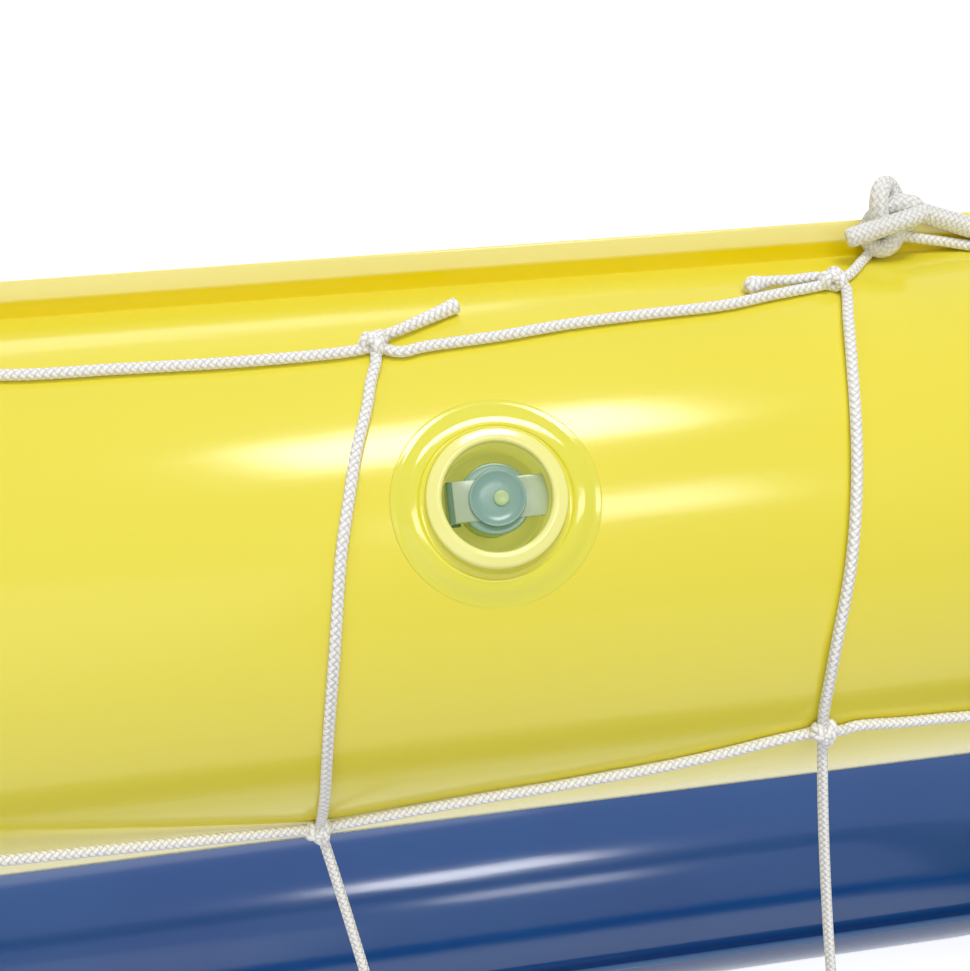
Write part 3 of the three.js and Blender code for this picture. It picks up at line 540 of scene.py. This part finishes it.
# The valve's moving parts are moulded in one soft translucent vinyl: the stem with its bore, the
# stopper with its disc, cup, pin and pull tab, and the strap folded between them. Light goes some
# way into the walls, so thin parts look paler and greener, and thick ones bluer: the shader lets
# some light through, and the rest of that light is painted into each part's tint.
STEM_PROFILE = (
    (4.0, -20.5), (10.2, -20.5), (10.2, -18.9), (7.2, -18.6), (6.5, -17.8), (6.3, -5.4),
    (6.9, -4.8), (6.9, -2.9), (6.6, -2.4), (4.2, -2.4), (4.0, -2.7),
)
MEMBRANE_PROFILE = (
    (10.3, -8.0), (9.9, -9.4), (8.8, -11.2), (7.4, -12.2), (6.5, -12.5), (6.4, -13.3), (7.6, -13.1),
    (9.3, -12.0), (10.2, -10.4), (10.4, -9.0),
)
CUP_PROFILE = (
    (0, -4.5), (2.2, -4.5), (2.5, -4.1), (2.8, -1.7), (5.3, -1.6), (5.5, -1.3), (5.55, -0.3),
    (5.45, -0.1), (5.25, -0.05), (5.05, -0.12), (4.8, -0.35), (4.3, -0.6), (3.4, -0.78),
    (2.4, -0.84), (0, -0.85),
)
PIN_PROFILE = ((0, -1.0), (1.55, -1.0), (1.55, -0.45), (1.45, -0.3), (1.2, -0.22), (0, -0.2))
DISC_PROFILE = (
    (0, -2.5), (6.5, -2.5), (6.9, -2.3), (7.05, -1.9), (7.05, -1.5), (6.9, -1.25), (6.6, -1.15),
    (6.2, -1.2), (0, -1.2),
)
WEB_LOW, WEB_THICK, WEB_ROUND = -2.1, 1.2, 0.25
HINGE_X, TAB_REACH, STRAP_HALF, TAB_STEPS = -8.2, 10.3, 4.1, 4
FOLD_X, FOLD_ROUND, FOLD_LAP, FOLD_STEPS = -9.3, 1.2, 0.6, 8
STRAP_ROOT_Z, STRAP_ROOT_LIFT, COLLAR_X, CUP_X, PIN_X = -9.0, 0.6, -6.6, 0.3, 0.8
CLOUDS_PER_METRE, SKIN_BUMP = 300.0, (0.15, 0.0001)


def soft_pvc(name, tint, through, clear):
    """Moulded soft vinyl that lets some light through."""
    material, tree = start_material(name)
    place = add_node(tree, "TexCoord").outputs["Object"]
    cloud = add_node(tree, "TexNoise", {"Scale": CLOUDS_PER_METRE, "Detail": 2.0},
                     {"Vector": place})
    tone = add_node(tree, "Mix", {6: linear(tint), 7: linear(through)}, {0: cloud},
                    data_type="RGBA")
    skin = add_node(tree, "Bump", {"Strength": SKIN_BUMP[0], "Distance": SKIN_BUMP[1]},
                    {"Height": cloud})
    shader = add_node(tree, "BsdfPrincipled",
                      {"Roughness": 0.22, "IOR": 1.5, "Transmission Weight": clear},
                      {"Base Color": tone.outputs[2], "Normal": skin})
    add_node(tree, "OutputMaterial", links={"Surface": shader})
    return material


# A satin skin with clouds some 3 mm wide, and some light through it, so that no edge looks hard
valve_pvc = soft_pvc("green moulded vinyl", "#9CBF9E", "#A8C8A0", 0.20)
cup_pvc = soft_pvc("teal moulded vinyl", "#8EB4AC", "#94BAA6", 0.25)
strap_pvc = soft_pvc("thin pale moulded vinyl", "#CFDEC0", "#C4D6B4", 0.34)
disc_pvc = soft_pvc("sage moulded vinyl", "#90B6A0", "#8CB294", 0.25)
fold_pvc = soft_pvc("folded teal moulded vinyl", "#84AFA9", "#94BAA6", 0.45)
pin_pvc = soft_pvc("thin green moulded vinyl", "#B9D092", "#B5CC90", 0.10)

# Turned parts: name, body, profile, place along the strap, sides, material and the node it is for
TURNED_PARTS = (
    ("stem_barrel", "stem", STEM_PROFILE, 0, VALVE_SIDES, valve_pvc, "stem"),
    ("stopper_cup", "plug", CUP_PROFILE, CUP_X, VALVE_SIDES, cup_pvc, "plug"),
    ("stopper_pin", "plug", PIN_PROFILE, CUP_X + PIN_X, VALVE_SIDES // 2, pin_pvc, ""),
    ("stopper_disc", "plug", DISC_PROFILE, 0, VALVE_SIDES, disc_pvc, ""),
)
for name, place, _, _, (_, _, _, well) in valves:
    for part, body, profile, x, sides, pvc, node in TURNED_PARTS:
        bm = turned(profile, sides, place @ Matrix.Translation(x_way * x * MM))
        add_piece(bm, f"{name}_{part}", f"{name}_{body}", pvc,
                  (f"{name}_valve_{node}",) if node else ())
    # The membrane takes the well's painted glow too
    add_piece(turned(smoothed(MEMBRANE_PROFILE, 3), VALVE_SIDES, place), f"{name}_stem_membrane",
              f"{name}_stem", painted_glow_film(f"{name} membrane film", well))

    bm = bmesh.new()
    tip = asin(STRAP_HALF / TAB_REACH)
    half_outline = [(TAB_REACH * cos(turn), TAB_REACH * sin(turn))
                    for turn in (tip * i / TAB_STEPS for i in range(TAB_STEPS + 1))]
    half_outline += [(x, STRAP_HALF) for x in (7, 4, 0, -4, HINGE_X)]
    outline = half_outline + [(x, -y) for x, y in reversed(half_outline) if y > 0]
    face = bm.faces.new([bm.verts.new((x * MM, y * MM, WEB_LOW * MM)) for x, y in outline])
    made = bmesh.ops.extrude_face_region(bm, geom=[face])["geom"]
    bmesh.ops.translate(bm, vec=z_way * WEB_THICK * MM, verts=only(made, BMVert))
    rims = [edge for edge in bm.edges if edge.verts[0].co.z == edge.verts[1].co.z]
    bmesh.ops.bevel(bm, geom=rims, offset=WEB_ROUND * MM, segments=2, profile=0.5,
                    affect="EDGES", material=-1)
    bmesh.ops.transform(bm, matrix=place, verts=bm.verts)
    add_piece(bm, f"{name}_stopper_web", f"{name}_plug", strap_pvc)

    bm = bmesh.new()
    middle = WEB_LOW + WEB_THICK / 2
    fold = [(HINGE_X + FOLD_LAP, middle)]
    for start, height in ((quarter, middle - FOLD_ROUND),
                          (pi, STRAP_ROOT_Z + STRAP_ROOT_LIFT + FOLD_ROUND)):
        for i in range(FOLD_STEPS + 1):
            turn = start + quarter * i / FOLD_STEPS
            fold.append((FOLD_X + FOLD_ROUND * (1 + cos(turn)), height + FOLD_ROUND * sin(turn)))
    fold.append((COLLAR_X, STRAP_ROOT_Z + STRAP_ROOT_LIFT))
    verts = [bm.verts.new((x * MM, -STRAP_HALF * MM, z * MM)) for x, z in fold]
    edges = [bm.edges.new(pair) for pair in zip(verts, verts[1:])]
    made = bmesh.ops.extrude_edge_only(bm, edges=edges)["geom"]
    bmesh.ops.translate(bm, vec=y_way * 2 * STRAP_HALF * MM, verts=only(made, BMVert))
    bmesh.ops.solidify(bm, geom=list(bm.faces), thickness=0.5 * WEB_THICK * MM)
    bmesh.ops.transform(bm, matrix=place, verts=bm.verts)
    add_piece(bm, f"{name}_strap_fold", f"{name}_stem", fold_pvc,
              (f"{name}_valve_strap",))

    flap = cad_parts[f"{name}_valve_flap"]
    flap.data.materials.clear()
    flap.data.materials.append(valve_pvc)

# The net is knotted from braided white cord a little over two millimetres thick. The braid has
# eight strands, four each way, which show as slanted ridges; the gaps between them are painted grey
# as shade.
CORD_RADIUS, ROPE_RADIUS, REST = 0.00115, 0.0023, 0.0013
BRAID_RUN, ROPE_RUN, RIDGE_BUMP = 0.0015, 0.0013, (0.8, 0.0003)


def braided(name, light, painted_gap_shade, run, strands_round, clear=0.0):
    """Braided cord: ridges that cross over and under, from the place round and along the cord."""
    material, tree = start_material(name)
    attribute = add_node(tree, "Attribute", attribute_name="braid").outputs["Vector"]
    split = add_node(tree, "SeparateXYZ", links={0: attribute})
    angle = add_node(tree, "Math", links={0: split.outputs[1], 1: split}, operation="ARCTAN2")
    strands = add_node(tree, "Math", {1: strands_round / (2 * pi)}, {0: angle},
                       operation="MULTIPLY")
    passed = add_node(tree, "Math", {1: 1 / run}, {0: split.outputs[2]}, operation="MULTIPLY")
    ridges, cells = [], []
    for operation in ("ADD", "SUBTRACT"):
        phase = add_node(tree, "Math", links={0: strands, 1: passed}, operation=operation)
        share = add_node(tree, "Math", links={0: phase}, operation="FRACT")
        arch = add_node(tree, "Math", {1: pi}, {0: share}, operation="MULTIPLY")
        ridges.append(add_node(tree, "Math", links={0: arch}, operation="SINE"))
        cells.append(add_node(tree, "Math", links={0: phase}, operation="FLOOR"))
    total = add_node(tree, "Math", links={0: cells[0], 1: cells[1]}, operation="ADD")
    over = add_node(tree, "Math", {1: 2}, {0: total}, operation="FLOORED_MODULO")
    height = add_node(tree, "Mix", links={0: over, 2: ridges[0], 3: ridges[1]}, data_type="FLOAT")
    lit = add_node(tree, "MapRange", {"From Max": 0.75}, {0: height})
    # Painted shade: the cord is painted grey in the gaps between ridges
    tone = add_node(tree, "Mix", {6: linear(painted_gap_shade), 7: linear(light)}, {0: lit}, data_type="RGBA")
    bump = add_node(tree, "Bump", {"Strength": RIDGE_BUMP[0], "Distance": RIDGE_BUMP[1]},
                    {"Height": height})
    shader = add_node(tree, "BsdfPrincipled", {"Roughness": 0.55, "IOR": 1.5, "Sheen Weight": 0.25,
                                               "Transmission Weight": clear},
                      {"Base Color": tone.outputs[2], "Normal": bump})
    add_node(tree, "OutputMaterial", links={"Surface": shader})
    return material


# Spun fibre, matt and a little fuzzy, so the ridges catch the light softly; the gaps are painted
# grey as shade
white_cord = braided("white braided cord", "#FBFAF8", "#D6D2CE", BRAID_RUN, 4)
tie_rope = braided("milky braided rope", "#FBFAF6", "#E6E3DA", ROPE_RUN, 8, 0.10)


def lay_cord(bm, points, radius, step, sides, shape=None):
    """Lays a braided cord through points: a ring carried along them, capped at both ends."""
    if bm.verts.layers.float_vector.get("braid") is None:
        bm.verts.layers.float_vector.new("braid")
    length = sum((b - a).length for a, b in zip(points, points[1:]))
    steps = max(2, ceil(length / step / (len(points) - 1)))
    line = [Vector(p) for p in smoothed([tuple(p) for p in points], steps)]
    strand = bmesh.new()
    layer = strand.verts.layers.float_vector.new("braid")
    ahead = (line[1] - line[0]).normalized()
    turn = ahead.to_track_quat("Z", "Y")
    ring = bmesh.ops.create_circle(strand, segments=sides, radius=1)["verts"]
    unit = [vert.co.copy() for vert in ring]
    run = 0
    rings = [ring]
    edges = only(ring_edges(ring), BMEdge)
    for i, point in enumerate(line):
        if i:
            run += (point - line[i - 1]).length
            after = line[min(i + 1, len(line) - 1)]
            way = (after - line[i - 1]).normalized()
            turn = ahead.rotation_difference(way) @ turn
            ahead = way
            made = bmesh.ops.extrude_edge_only(strand, edges=edges)["geom"]
            new = only(made, BMVert)
            edges = [edge for edge in only(made, BMEdge)
                     if edge.verts[0] in new and edge.verts[1] in new]
            order = {vert: j for j, vert in enumerate(rings[-1])}
            placed = [None] * sides
            for vert in new:
                for edge in vert.link_edges:
                    other = edge.other_vert(vert)
                    if other in order:
                        placed[order[other]] = vert
            rings.append(placed)
        share = i / (len(line) - 1)
        size = radius * (shape(share) if shape else 1)
        for j, vert in enumerate(rings[-1]):
            vert.co = point + turn @ (unit[j] * size)
            vert[layer] = (unit[j].x, unit[j].y, run)
    for end in (rings[0], rings[-1]):
        strand.faces.new(end)
    mesh = bpy.data.meshes.new("strand")
    bmesh.ops.recalc_face_normals(strand, faces=strand.faces)
    strand.to_mesh(mesh)
    strand.free()
    bm.from_mesh(mesh)
    bpy.data.meshes.remove(mesh)


# The net hangs from the bar's back to the float's outer flange, in square meshes of about 97
# millimetres. A row runs level round the back and both sides to the posts.
MESH_PITCH, NET_ROWS, HALF_COLUMNS = 0.097, 7, 6
TOP_TURN, LAND_TURN = radians(74), radians(62)
LEAVE_PULL, LAND_PULL = 0.175, 0.190
BORDER_OUT, BORDER_UP = 0.0055, 0.0026
TIE_SHIFT, TIE_NEAR, TIE_ROWS, TIE_REST = 0.0245, 0.030, 0.2, 0.0035
TIE_X = (1.5 * MESH_PITCH + TIE_SHIFT, 4.5 * MESH_PITCH + TIE_SHIFT)
BAR_STEPS, FALL_STEPS, LAND_STEPS, STRAND_STEPS = 32, 48, 24, 8

bar_r, rest_r = arch_radius + REST, float_radius + REST
section = []
for i in range(BAR_STEPS + 1):
    turn = TOP_TURN * (1 - i / BAR_STEPS)
    section.append(Vector((bar_r * cos(turn), bar_z + bar_r * sin(turn))))
landing = Vector((float_y + rest_r * cos(LAND_TURN), float_radius + rest_r * sin(LAND_TURN)))
fall = Vector((0, -LEAVE_PULL))
arrive = Vector((sin(LAND_TURN), -cos(LAND_TURN))) * LAND_PULL
section += interpolate_bezier(section[-1], section[-1] + fall, landing - arrive, landing,
                              FALL_STEPS + 1)[1:]
end_r = hypot(float_radius + BORDER_OUT, BORDER_UP)
end_turn = atan2(BORDER_UP, float_radius + BORDER_OUT)
for i in range(1, LAND_STEPS + 1):
    turn = LAND_TURN + (end_turn - LAND_TURN) * i / LAND_STEPS
    r = rest_r + (end_r - rest_r) * (i / LAND_STEPS) ** 3
    section.append(Vector((float_y + r * cos(turn), float_radius + r * sin(turn))))
section = [Vector(p[:2]) for p in section]
sums = [0]
for a, b in zip(section, section[1:]):
    sums.append(sums[-1] + (b - a).length)


def section_at(t):
    """The net's depth behind the bar and its height at row t, by length down the section."""
    want = min(1, max(0, t / NET_ROWS)) * sums[-1]
    i = next((n for n, s in enumerate(sums) if s >= want and n > 0), len(sums) - 1)
    share = (want - sums[i - 1]) / (sums[i] - sums[i - 1])
    return section[i - 1].lerp(section[i], share)


def row_path(t):
    """Row t's depth, height, level half width, bend radius and whole length to the post."""
    depth, height = section_at(t)
    rise = max(0, height - bend_z)
    flange_r = ARCH_CORNER + arch_radius + BORDER_OUT
    reach = bend_x + sqrt(max(0, flange_r ** 2 - rise ** 2))
    if height < 2 * float_radius:
        reach = max(reach, float_x + depth - float_y)
    spread = min(1, max(0, (depth - bar_r) / float_y))
    full = FLOAT_CORNER + max(0, depth - float_y)
    bend = min(bar_r + (full - bar_r) * spread, depth - BORDER_UP)
    flat = reach - bend
    tail = depth - bend - BORDER_UP
    return depth, height, flat, bend, flat + bend * quarter + tail


def net_point(t, along):
    """A point of the net at row t and a signed length along the row from its middle."""
    depth, height, flat, bend, _ = row_path(t)
    far = abs(along)
    if far <= flat:
        point = Vector((along, depth, height))
    else:
        turn = min(quarter, (far - flat) / bend)
        past = max(0, far - flat - bend * quarter)
        point = Vector((copysign(flat + bend * sin(turn), along),
                        depth - bend + bend * cos(turn) - past, height))
    nearest = min(abs(abs(point.x) - x) for x in TIE_X)
    share = exp(-(nearest / TIE_NEAR) ** 2) * max(0, 1 - t / TIE_ROWS)
    tied = Vector((point.x, TIE_REST, bar_z + arch_radius + TIE_REST))
    point = point.lerp(tied, share)
    past = max(0, abs(point.x) - bend_x)
    outer = ARCH_CORNER + arch_radius
    point.z -= (outer - sqrt(max(0, outer ** 2 - past ** 2))) * max(0, 1 - t)
    return point


EDGE_ALONG = (HALF_COLUMNS - 0.5) * MESH_PITCH
row_lengths = [row_path(k)[4] for k in range(NET_ROWS + 1)]
side_meshes = [0] + [max(1, round((length - EDGE_ALONG) / MESH_PITCH))
                     for length in row_lengths[1:]]


def along_of(k, column):
    """The signed length along row k of a column, counted in meshes from the middle."""
    far = abs(column)
    if far <= HALF_COLUMNS - 0.5:
        return column * MESH_PITCH
    step = (row_lengths[k] - EDGE_ALONG) / side_meshes[k]
    return copysign(EDGE_ALONG + (far - HALF_COLUMNS + 0.5) * step, column)


FLANGE_FRONT = 0.0024


def on_bar(x, y, lift=REST):
    """Where a pixel's ray meets the bar's back or its flange, at a height over the skin."""
    way = ray(x, y)
    height = eye.z - bar_z
    a = way.y ** 2 + way.z ** 2
    b = 2 * (eye.y * way.y + height * way.z)
    c = eye.y ** 2 + height ** 2 - (arch_radius + lift) ** 2
    root = max(0, b * b - 4 * a * c)
    point = eye + way * (-b - sqrt(root)) / (2 * a)
    if point.y < FLANGE_FRONT:
        point = eye + way * (FLANGE_FRONT - eye.y) / way.y
    return point


# The stretch of net by the valve lies as photographed, along these image points
KNOT_A, KNOT_B, KNOT_C, KNOT_D = (375, 346), (831, 283), (822, 729), (320, 828)
SEEN_STRANDS = {
    ((0, -0.5), (0, 0.5)): (KNOT_A, (340, 353), (240, 362), (120, 369), (0, 375)),
    ((0, -1.5), (0, -0.5)): (KNOT_B, (819, 286), (768, 296), (720, 306), (640, 315), (570, 324),
        (500, 336), (430, 346), (400, 352), KNOT_A),
    ((0, -0.5), (1, -0.5)): (KNOT_A, (376, 362), (371, 382), (367, 408), (357, 450), (349, 500),
        (341, 560), (335, 650), (329, 730), (325, 796), KNOT_D),
    ((0, -1.5), (1, -1.5)): (KNOT_B, (845, 288), (848, 320), (851, 356), (856, 430), (856, 500),
        (850, 570), (837, 640), (831, 672), (824, 709), KNOT_C),
    ((1, -1.5), (1, -0.5)): (KNOT_C, (803, 734), (768, 742), (720, 754), (660, 767), (600, 778),
        (545, 788), (490, 797), (400, 813), KNOT_D),
    ((0, -2.5), (0, -1.5)): ((1180, 262), (1080, 256), (1000, 250), (970, 246), (945, 242),
        (920, 239), (904, 237), (890, 238), (879, 243), (869, 253), (860, 263), (851, 273),
        (842, 279), KNOT_B),
    ((1, -2.5), (1, -1.5)): ((1400, 706), (1250, 706), (1100, 708), (970, 716), (903, 722),
        (860, 725), (840, 730), KNOT_C),
}
END_NEAR = 0.02
SEEN_KNOTS = {(0, -0.5): KNOT_A, (0, -1.5): KNOT_B, (1, -1.5): KNOT_C, (1, -0.5): KNOT_D}


def knot_place(k, column):
    """Where two cords of the net are knotted."""
    if (k, column) in SEEN_KNOTS:
        return on_bar(*SEEN_KNOTS[k, column])
    return net_point(k, along_of(k, column))


def strand_points(start, finish):
    """The points that a strand follows from one knot to the next."""
    if (start, finish) in SEEN_STRANDS:
        points = [on_bar(x, y) for x, y in SEEN_STRANDS[start, finish]]
        ends = (knot_place(*start), knot_place(*finish))
        if (points[0] - ends[0]).length > (points[0] - ends[1]).length:
            points.reverse()
        last = -1 if (points[-1] - ends[1]).length < END_NEAR else None
        return [ends[0]] + points[1:last] + [ends[1]]
    here, there = along_of(*start), along_of(*finish)
    shares = [i / STRAND_STEPS for i in range(STRAND_STEPS + 1)]
    points = [net_point(start[0] + (finish[0] - start[0]) * share, here + (there - here) * share)
              for share in shares]
    first, last = knot_place(*start) - points[0], knot_place(*finish) - points[-1]
    return [point + first * (1 - share) + last * share for point, share in zip(points, shares)]


# Each wrap of a net knot: its place along and down the net in cord radii, and its lean in degrees
NET_WRAPS = ((-0.85, 0.25, 10), (0.5, 0.4, -34), (0.2, -0.25, 74))
WRAP_WIDE, WRAP_HIGH, WRAP_LIFT, WRAP_STEP = 1.8, 1.05, 0.85, 0.0012


def once_round(steps, start=0.0):
    """Angles once round a circle, both ends included."""
    return [2 * pi * (n / steps + start) for n in range(steps + 1)]


def tie_a_knot(bm, place, across, down, radius, sides, stations):
    """Winds a knot round a crossing in short wraps that lie on the net."""
    over = across.cross(down).normalized()
    if over.dot(place - Vector((0, 0, place.z))) < 0:
        over = -over
    for along_share, down_share, lean in NET_WRAPS:
        lean = radians(lean)
        band = (down * cos(lean) + across * sin(lean)).normalized()
        centre = place + radius * (across * along_share + down * down_share + over * WRAP_LIFT)
        wide, high = band * WRAP_WIDE, over * WRAP_HIGH
        points = [centre + radius * (wide * cos(t) + high * sin(t))
                  for t in once_round(stations, -0.25)]
        lay_cord(bm, points, radius, WRAP_STEP, sides)


ALONG_NUDGE, ROW_NUDGE = 0.004, 0.05


def net_ways(k, column):
    """The ways across and down the net at a knot."""
    along = along_of(k, column)
    across = net_point(k, along + ALONG_NUDGE) - net_point(k, along - ALONG_NUDGE)
    down = net_point(min(NET_ROWS, k + ROW_NUDGE), along) - net_point(max(0, k - ROW_NUDGE), along)
    over = down.cross(across).normalized()
    across = across.normalized()
    return across, across.cross(over).normalized()


nets = {"back": bmesh.new(), "left": bmesh.new(), "right": bmesh.new()}


def net_of(column):
    """The part of the net that a column belongs to."""
    if abs(column) < HALF_COLUMNS:
        return nets["back"]
    return nets["left" if column < 0 else "right"]


# A cord's radius, its step and its sides: finer where the photograph shows it close
SEEN_CORD, FAR_CORD = (CORD_RADIUS, 0.0012, 16), (CORD_RADIUS, 0.004, 8)
SPARE_COLUMNS, CORNER_BACK = 12, 0.006
columns = [n + 0.5 for n in range(-HALF_COLUMNS - SPARE_COLUMNS, HALF_COLUMNS + SPARE_COLUMNS)]
for k in range(NET_ROWS + 1):
    reach = HALF_COLUMNS - 0.5 + side_meshes[k]
    below = HALF_COLUMNS - 0.5 + side_meshes[k + 1] if k < NET_ROWS else reach
    row = [column for column in columns if abs(column) <= reach]
    for column, following in zip(row, row[1:]):
        near = k < 2 and -2.6 < column < 0.6
        lay_cord(net_of(max(column, following, key=abs)),
                 strand_points((k, column), (k, following)), *(SEEN_CORD if near else FAR_CORD))
    for column in row:
        if k < NET_ROWS and abs(column) <= below:
            near = k == 0 and column in (-1.5, -0.5)
            lay_cord(net_of(column), strand_points((k, column), (k + 1, column)),
                     *(SEEN_CORD if near else FAR_CORD))
        sides, stations = (14, 12) if (k, column) in SEEN_KNOTS else (8, 8)
        tie_a_knot(net_of(column), knot_place(k, column), *net_ways(k, column), CORD_RADIUS,
                   sides, stations)
    for side in (-1, 1):
        if 0 < k < NET_ROWS and below > reach:
            rim = [net_point(k + i / STRAND_STEPS, side * row_path(k + i / STRAND_STEPS)[4])
                   for i in range(STRAND_STEPS + 1)]
            lay_cord(net_of(side * below), rim, *FAR_CORD)
        if k == 0:
            corner_r = ARCH_CORNER + arch_radius + REST
            top, foot = net_point(0, side * EDGE_ALONG), net_point(1, side * row_lengths[1])
            start, finish = (atan2(end.z - bend_z, abs(end.x) - bend_x) for end in (top, foot))
            corner = [Vector((side * (bend_x + corner_r * cos(turn)), CORNER_BACK,
                              bend_z + corner_r * sin(turn)))
                      for turn in (start + (finish - start) * share for share in (0.25, 0.5, 0.75))]
            lay_cord(net_of(side * below), [top] + corner + [foot], *FAR_CORD)

# Two cut ends stand out by the valve: one is frayed open and the other is melted to a bead
TAIL_A = ((377, 342), (384, 336), (402, 329), (428, 318), (446, 310), (455, 306))
TAIL_B = ((826, 280), (816, 277), (792, 280), (773, 281), (757, 284), (745, 287))


def frayed(share):
    """The size of a cord along its last stretch, where the end is frayed open."""
    return 1.0 + 0.55 * max(0, share - 0.35) / 0.65


def melted(share):
    """The size of a cord along its last stretch, where the end is melted to a bead."""
    bead = 0.75 * exp(-((share - 0.86) / 0.13) ** 2)
    return 0.95 + bead - 0.5 * max(0, share - 0.93) / 0.07


for tail, lift, shape in ((TAIL_A, 0.0004, frayed), (TAIL_B, 0.0006, melted)):
    lay_cord(nets["back"], [on_bar(x, y, REST + lift) for x, y in tail], CORD_RADIUS, 0.0008, 16,
             shape)

for part, node in (("back", "net_back"), ("left", "net_side_left"), ("right", "net_side_right")):
    add_piece(nets[part], f"net_cords_{part}", "goal", white_cord, (node,))

# On the bar the net's border is tied to the flange with a milky rope, twice as thick as the
# cord: a fat knot sits on the flange, with a short cut end, and the rope goes on along the bar.
LOBE_SIZE, LOBE_STEPS, KNOT_SHIFT, KNOT_BACK, KNOT_UP = 0.0021, 24, 0.0015, 0.0035, 0.0013
KNOT_ROPE = (0.00205, 0.0009, 18)
HOLE_DOWN, HOLE_OUT, HOLE_UP, HOLE_STEPS = 0.0048, 0.0033, 0.0042, 12
ROPE_STEPS, ROPE_INSET, ROPE_WANDER = 64, 0.006, 0.0006
ROPE_START, ROPE_SETTLE, SETTLE_RATE = (0.0005, 0.0012), (0.0027, 0.0056), 18
CUT_END = ((0.002, 0.0035, 0.6625), (0.004, 0.0065, 0.6625), (-0.001, 0.0078, 0.6615),
           (-0.0070, 0.0070, 0.6595), (-0.0122, 0.0062, 0.6578))


def tie_lobes(bm, place, high, along, back):
    """Ties three fat lobes through each other, standing on the flange."""
    points = [place + LOBE_SIZE * (high * (sin(t) + 2 * sin(2 * t)) * 1.2
                                   + along * (cos(t) - 2 * cos(2 * t)) * 0.9
                                   - back * sin(3 * t) * 0.9)
              for t in once_round(LOBE_STEPS)]
    lay_cord(bm, points, *KNOT_ROPE)


def cut_square(share):
    """The size of a rope along a short end that is cut square and a little spread."""
    return 0.95 + 0.15 * share - 0.3 * max(0, share - 0.95) / 0.05


for side, word in ((-1, "left"), (1, "right")):
    for i, x in enumerate(TIE_X):
        bm = bmesh.new()
        centre = Vector((side * (x - KNOT_SHIFT), KNOT_BACK, arch_high.z + KNOT_UP))
        tie_lobes(bm, centre, z_way, -side * x_way, y_way)
        end = [Vector((side * (x + dx), y, z)) for dx, y, z in CUT_END]
        lay_cord(bm, end, *KNOT_ROPE, cut_square)
        hole = Vector((side * x, 0, arch_high.z - HOLE_DOWN))
        loop = [hole + y_way * HOLE_OUT * sin(t) + z_way * (HOLE_UP - HOLE_UP * cos(t))
                for t in once_round(HOLE_STEPS)]
        lay_cord(bm, loop, CORD_RADIUS, 0.0015, 10)
        add_piece(bm, f"rope_tie_{word}_{i + 1}", "goal", tie_rope,
                  (f"crossbar_tie_{word}_{i + 1}",))
    bm = bmesh.new()
    ends = (TIE_X[0] + ROPE_INSET, TIE_X[1] - ROPE_INSET)
    rope = []
    for i in range(ROPE_STEPS + 1):
        share = i / ROPE_STEPS
        x = ends[0] + (ends[1] - ends[0]) * share
        settle = min(1, SETTLE_RATE * min(share, 1 - share))
        wander = ROPE_WANDER * sin(9 * share * pi)
        rope.append(Vector((side * x, ROPE_START[0] + ROPE_SETTLE[0] * settle,
                            arch_high.z + ROPE_START[1] - ROPE_SETTLE[1] * settle + wander)))
    lay_cord(bm, rope, ROPE_RADIUS, 0.002, 14)
    add_piece(bm, f"rope_{word}", "goal", tie_rope, (f"edge_rope_{word}",))

# Down the posts and round the float the border is tied with small loops of cord through holes
# in the flange, each with its own little knot.
LOOP_RADIUS, LOOP_CORD, LOOP_TWIST, LOOP_STEPS, KNOT_OUT = 0.0052, 0.0009, 0.0008, 16, 0.001
SHORT_TAIL = ((0.0022, 0.002), (0.0032, 0.0045))
small_ties = []
for side, word in ((-1, "left"), (1, "right")):
    small_ties += [(f"post_tie_{word}_{i}", side * x_way, y_way) for i in (1, 2, 3)]
    small_ties += [(f"float_tie_{word}_{i}", y_way, z_way) for i in (1, 2, 3)]
    small_ties += [(f"float_tie_{word}_4", side * x_way, z_way)]

for name, out, over in small_ties:
    low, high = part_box(name)
    along = out.cross(over)
    inner = min(low.dot(out), high.dot(out)) + LOOP_RADIUS + LOOP_CORD
    under = min(low.dot(over), high.dot(over)) + LOOP_RADIUS + LOOP_CORD
    centre = out * inner + over * under + along * ((low + high) / 2).dot(along)
    bm = bmesh.new()
    loop = [centre + LOOP_RADIUS * (out * cos(t) + over * sin(t))
            + along * LOOP_TWIST * sin(t) for t in once_round(LOOP_STEPS)]
    lay_cord(bm, loop, LOOP_CORD, 0.0015, 10)
    knot = centre + (out + over) * (LOOP_RADIUS + KNOT_OUT) * sqrt(0.5)
    tie_a_knot(bm, knot, (out - over).normalized(), along, LOOP_CORD, sides=8, stations=12)
    for lean in (-1, 1):
        tail = [knot + (out + over) * far + along * wide * lean for far, wide in SHORT_TAIL]
        lay_cord(bm, [knot] + tail, LOOP_CORD, 0.0012, 8)
    add_piece(bm, f"cord_{name}", "goal", white_cord, (name,))
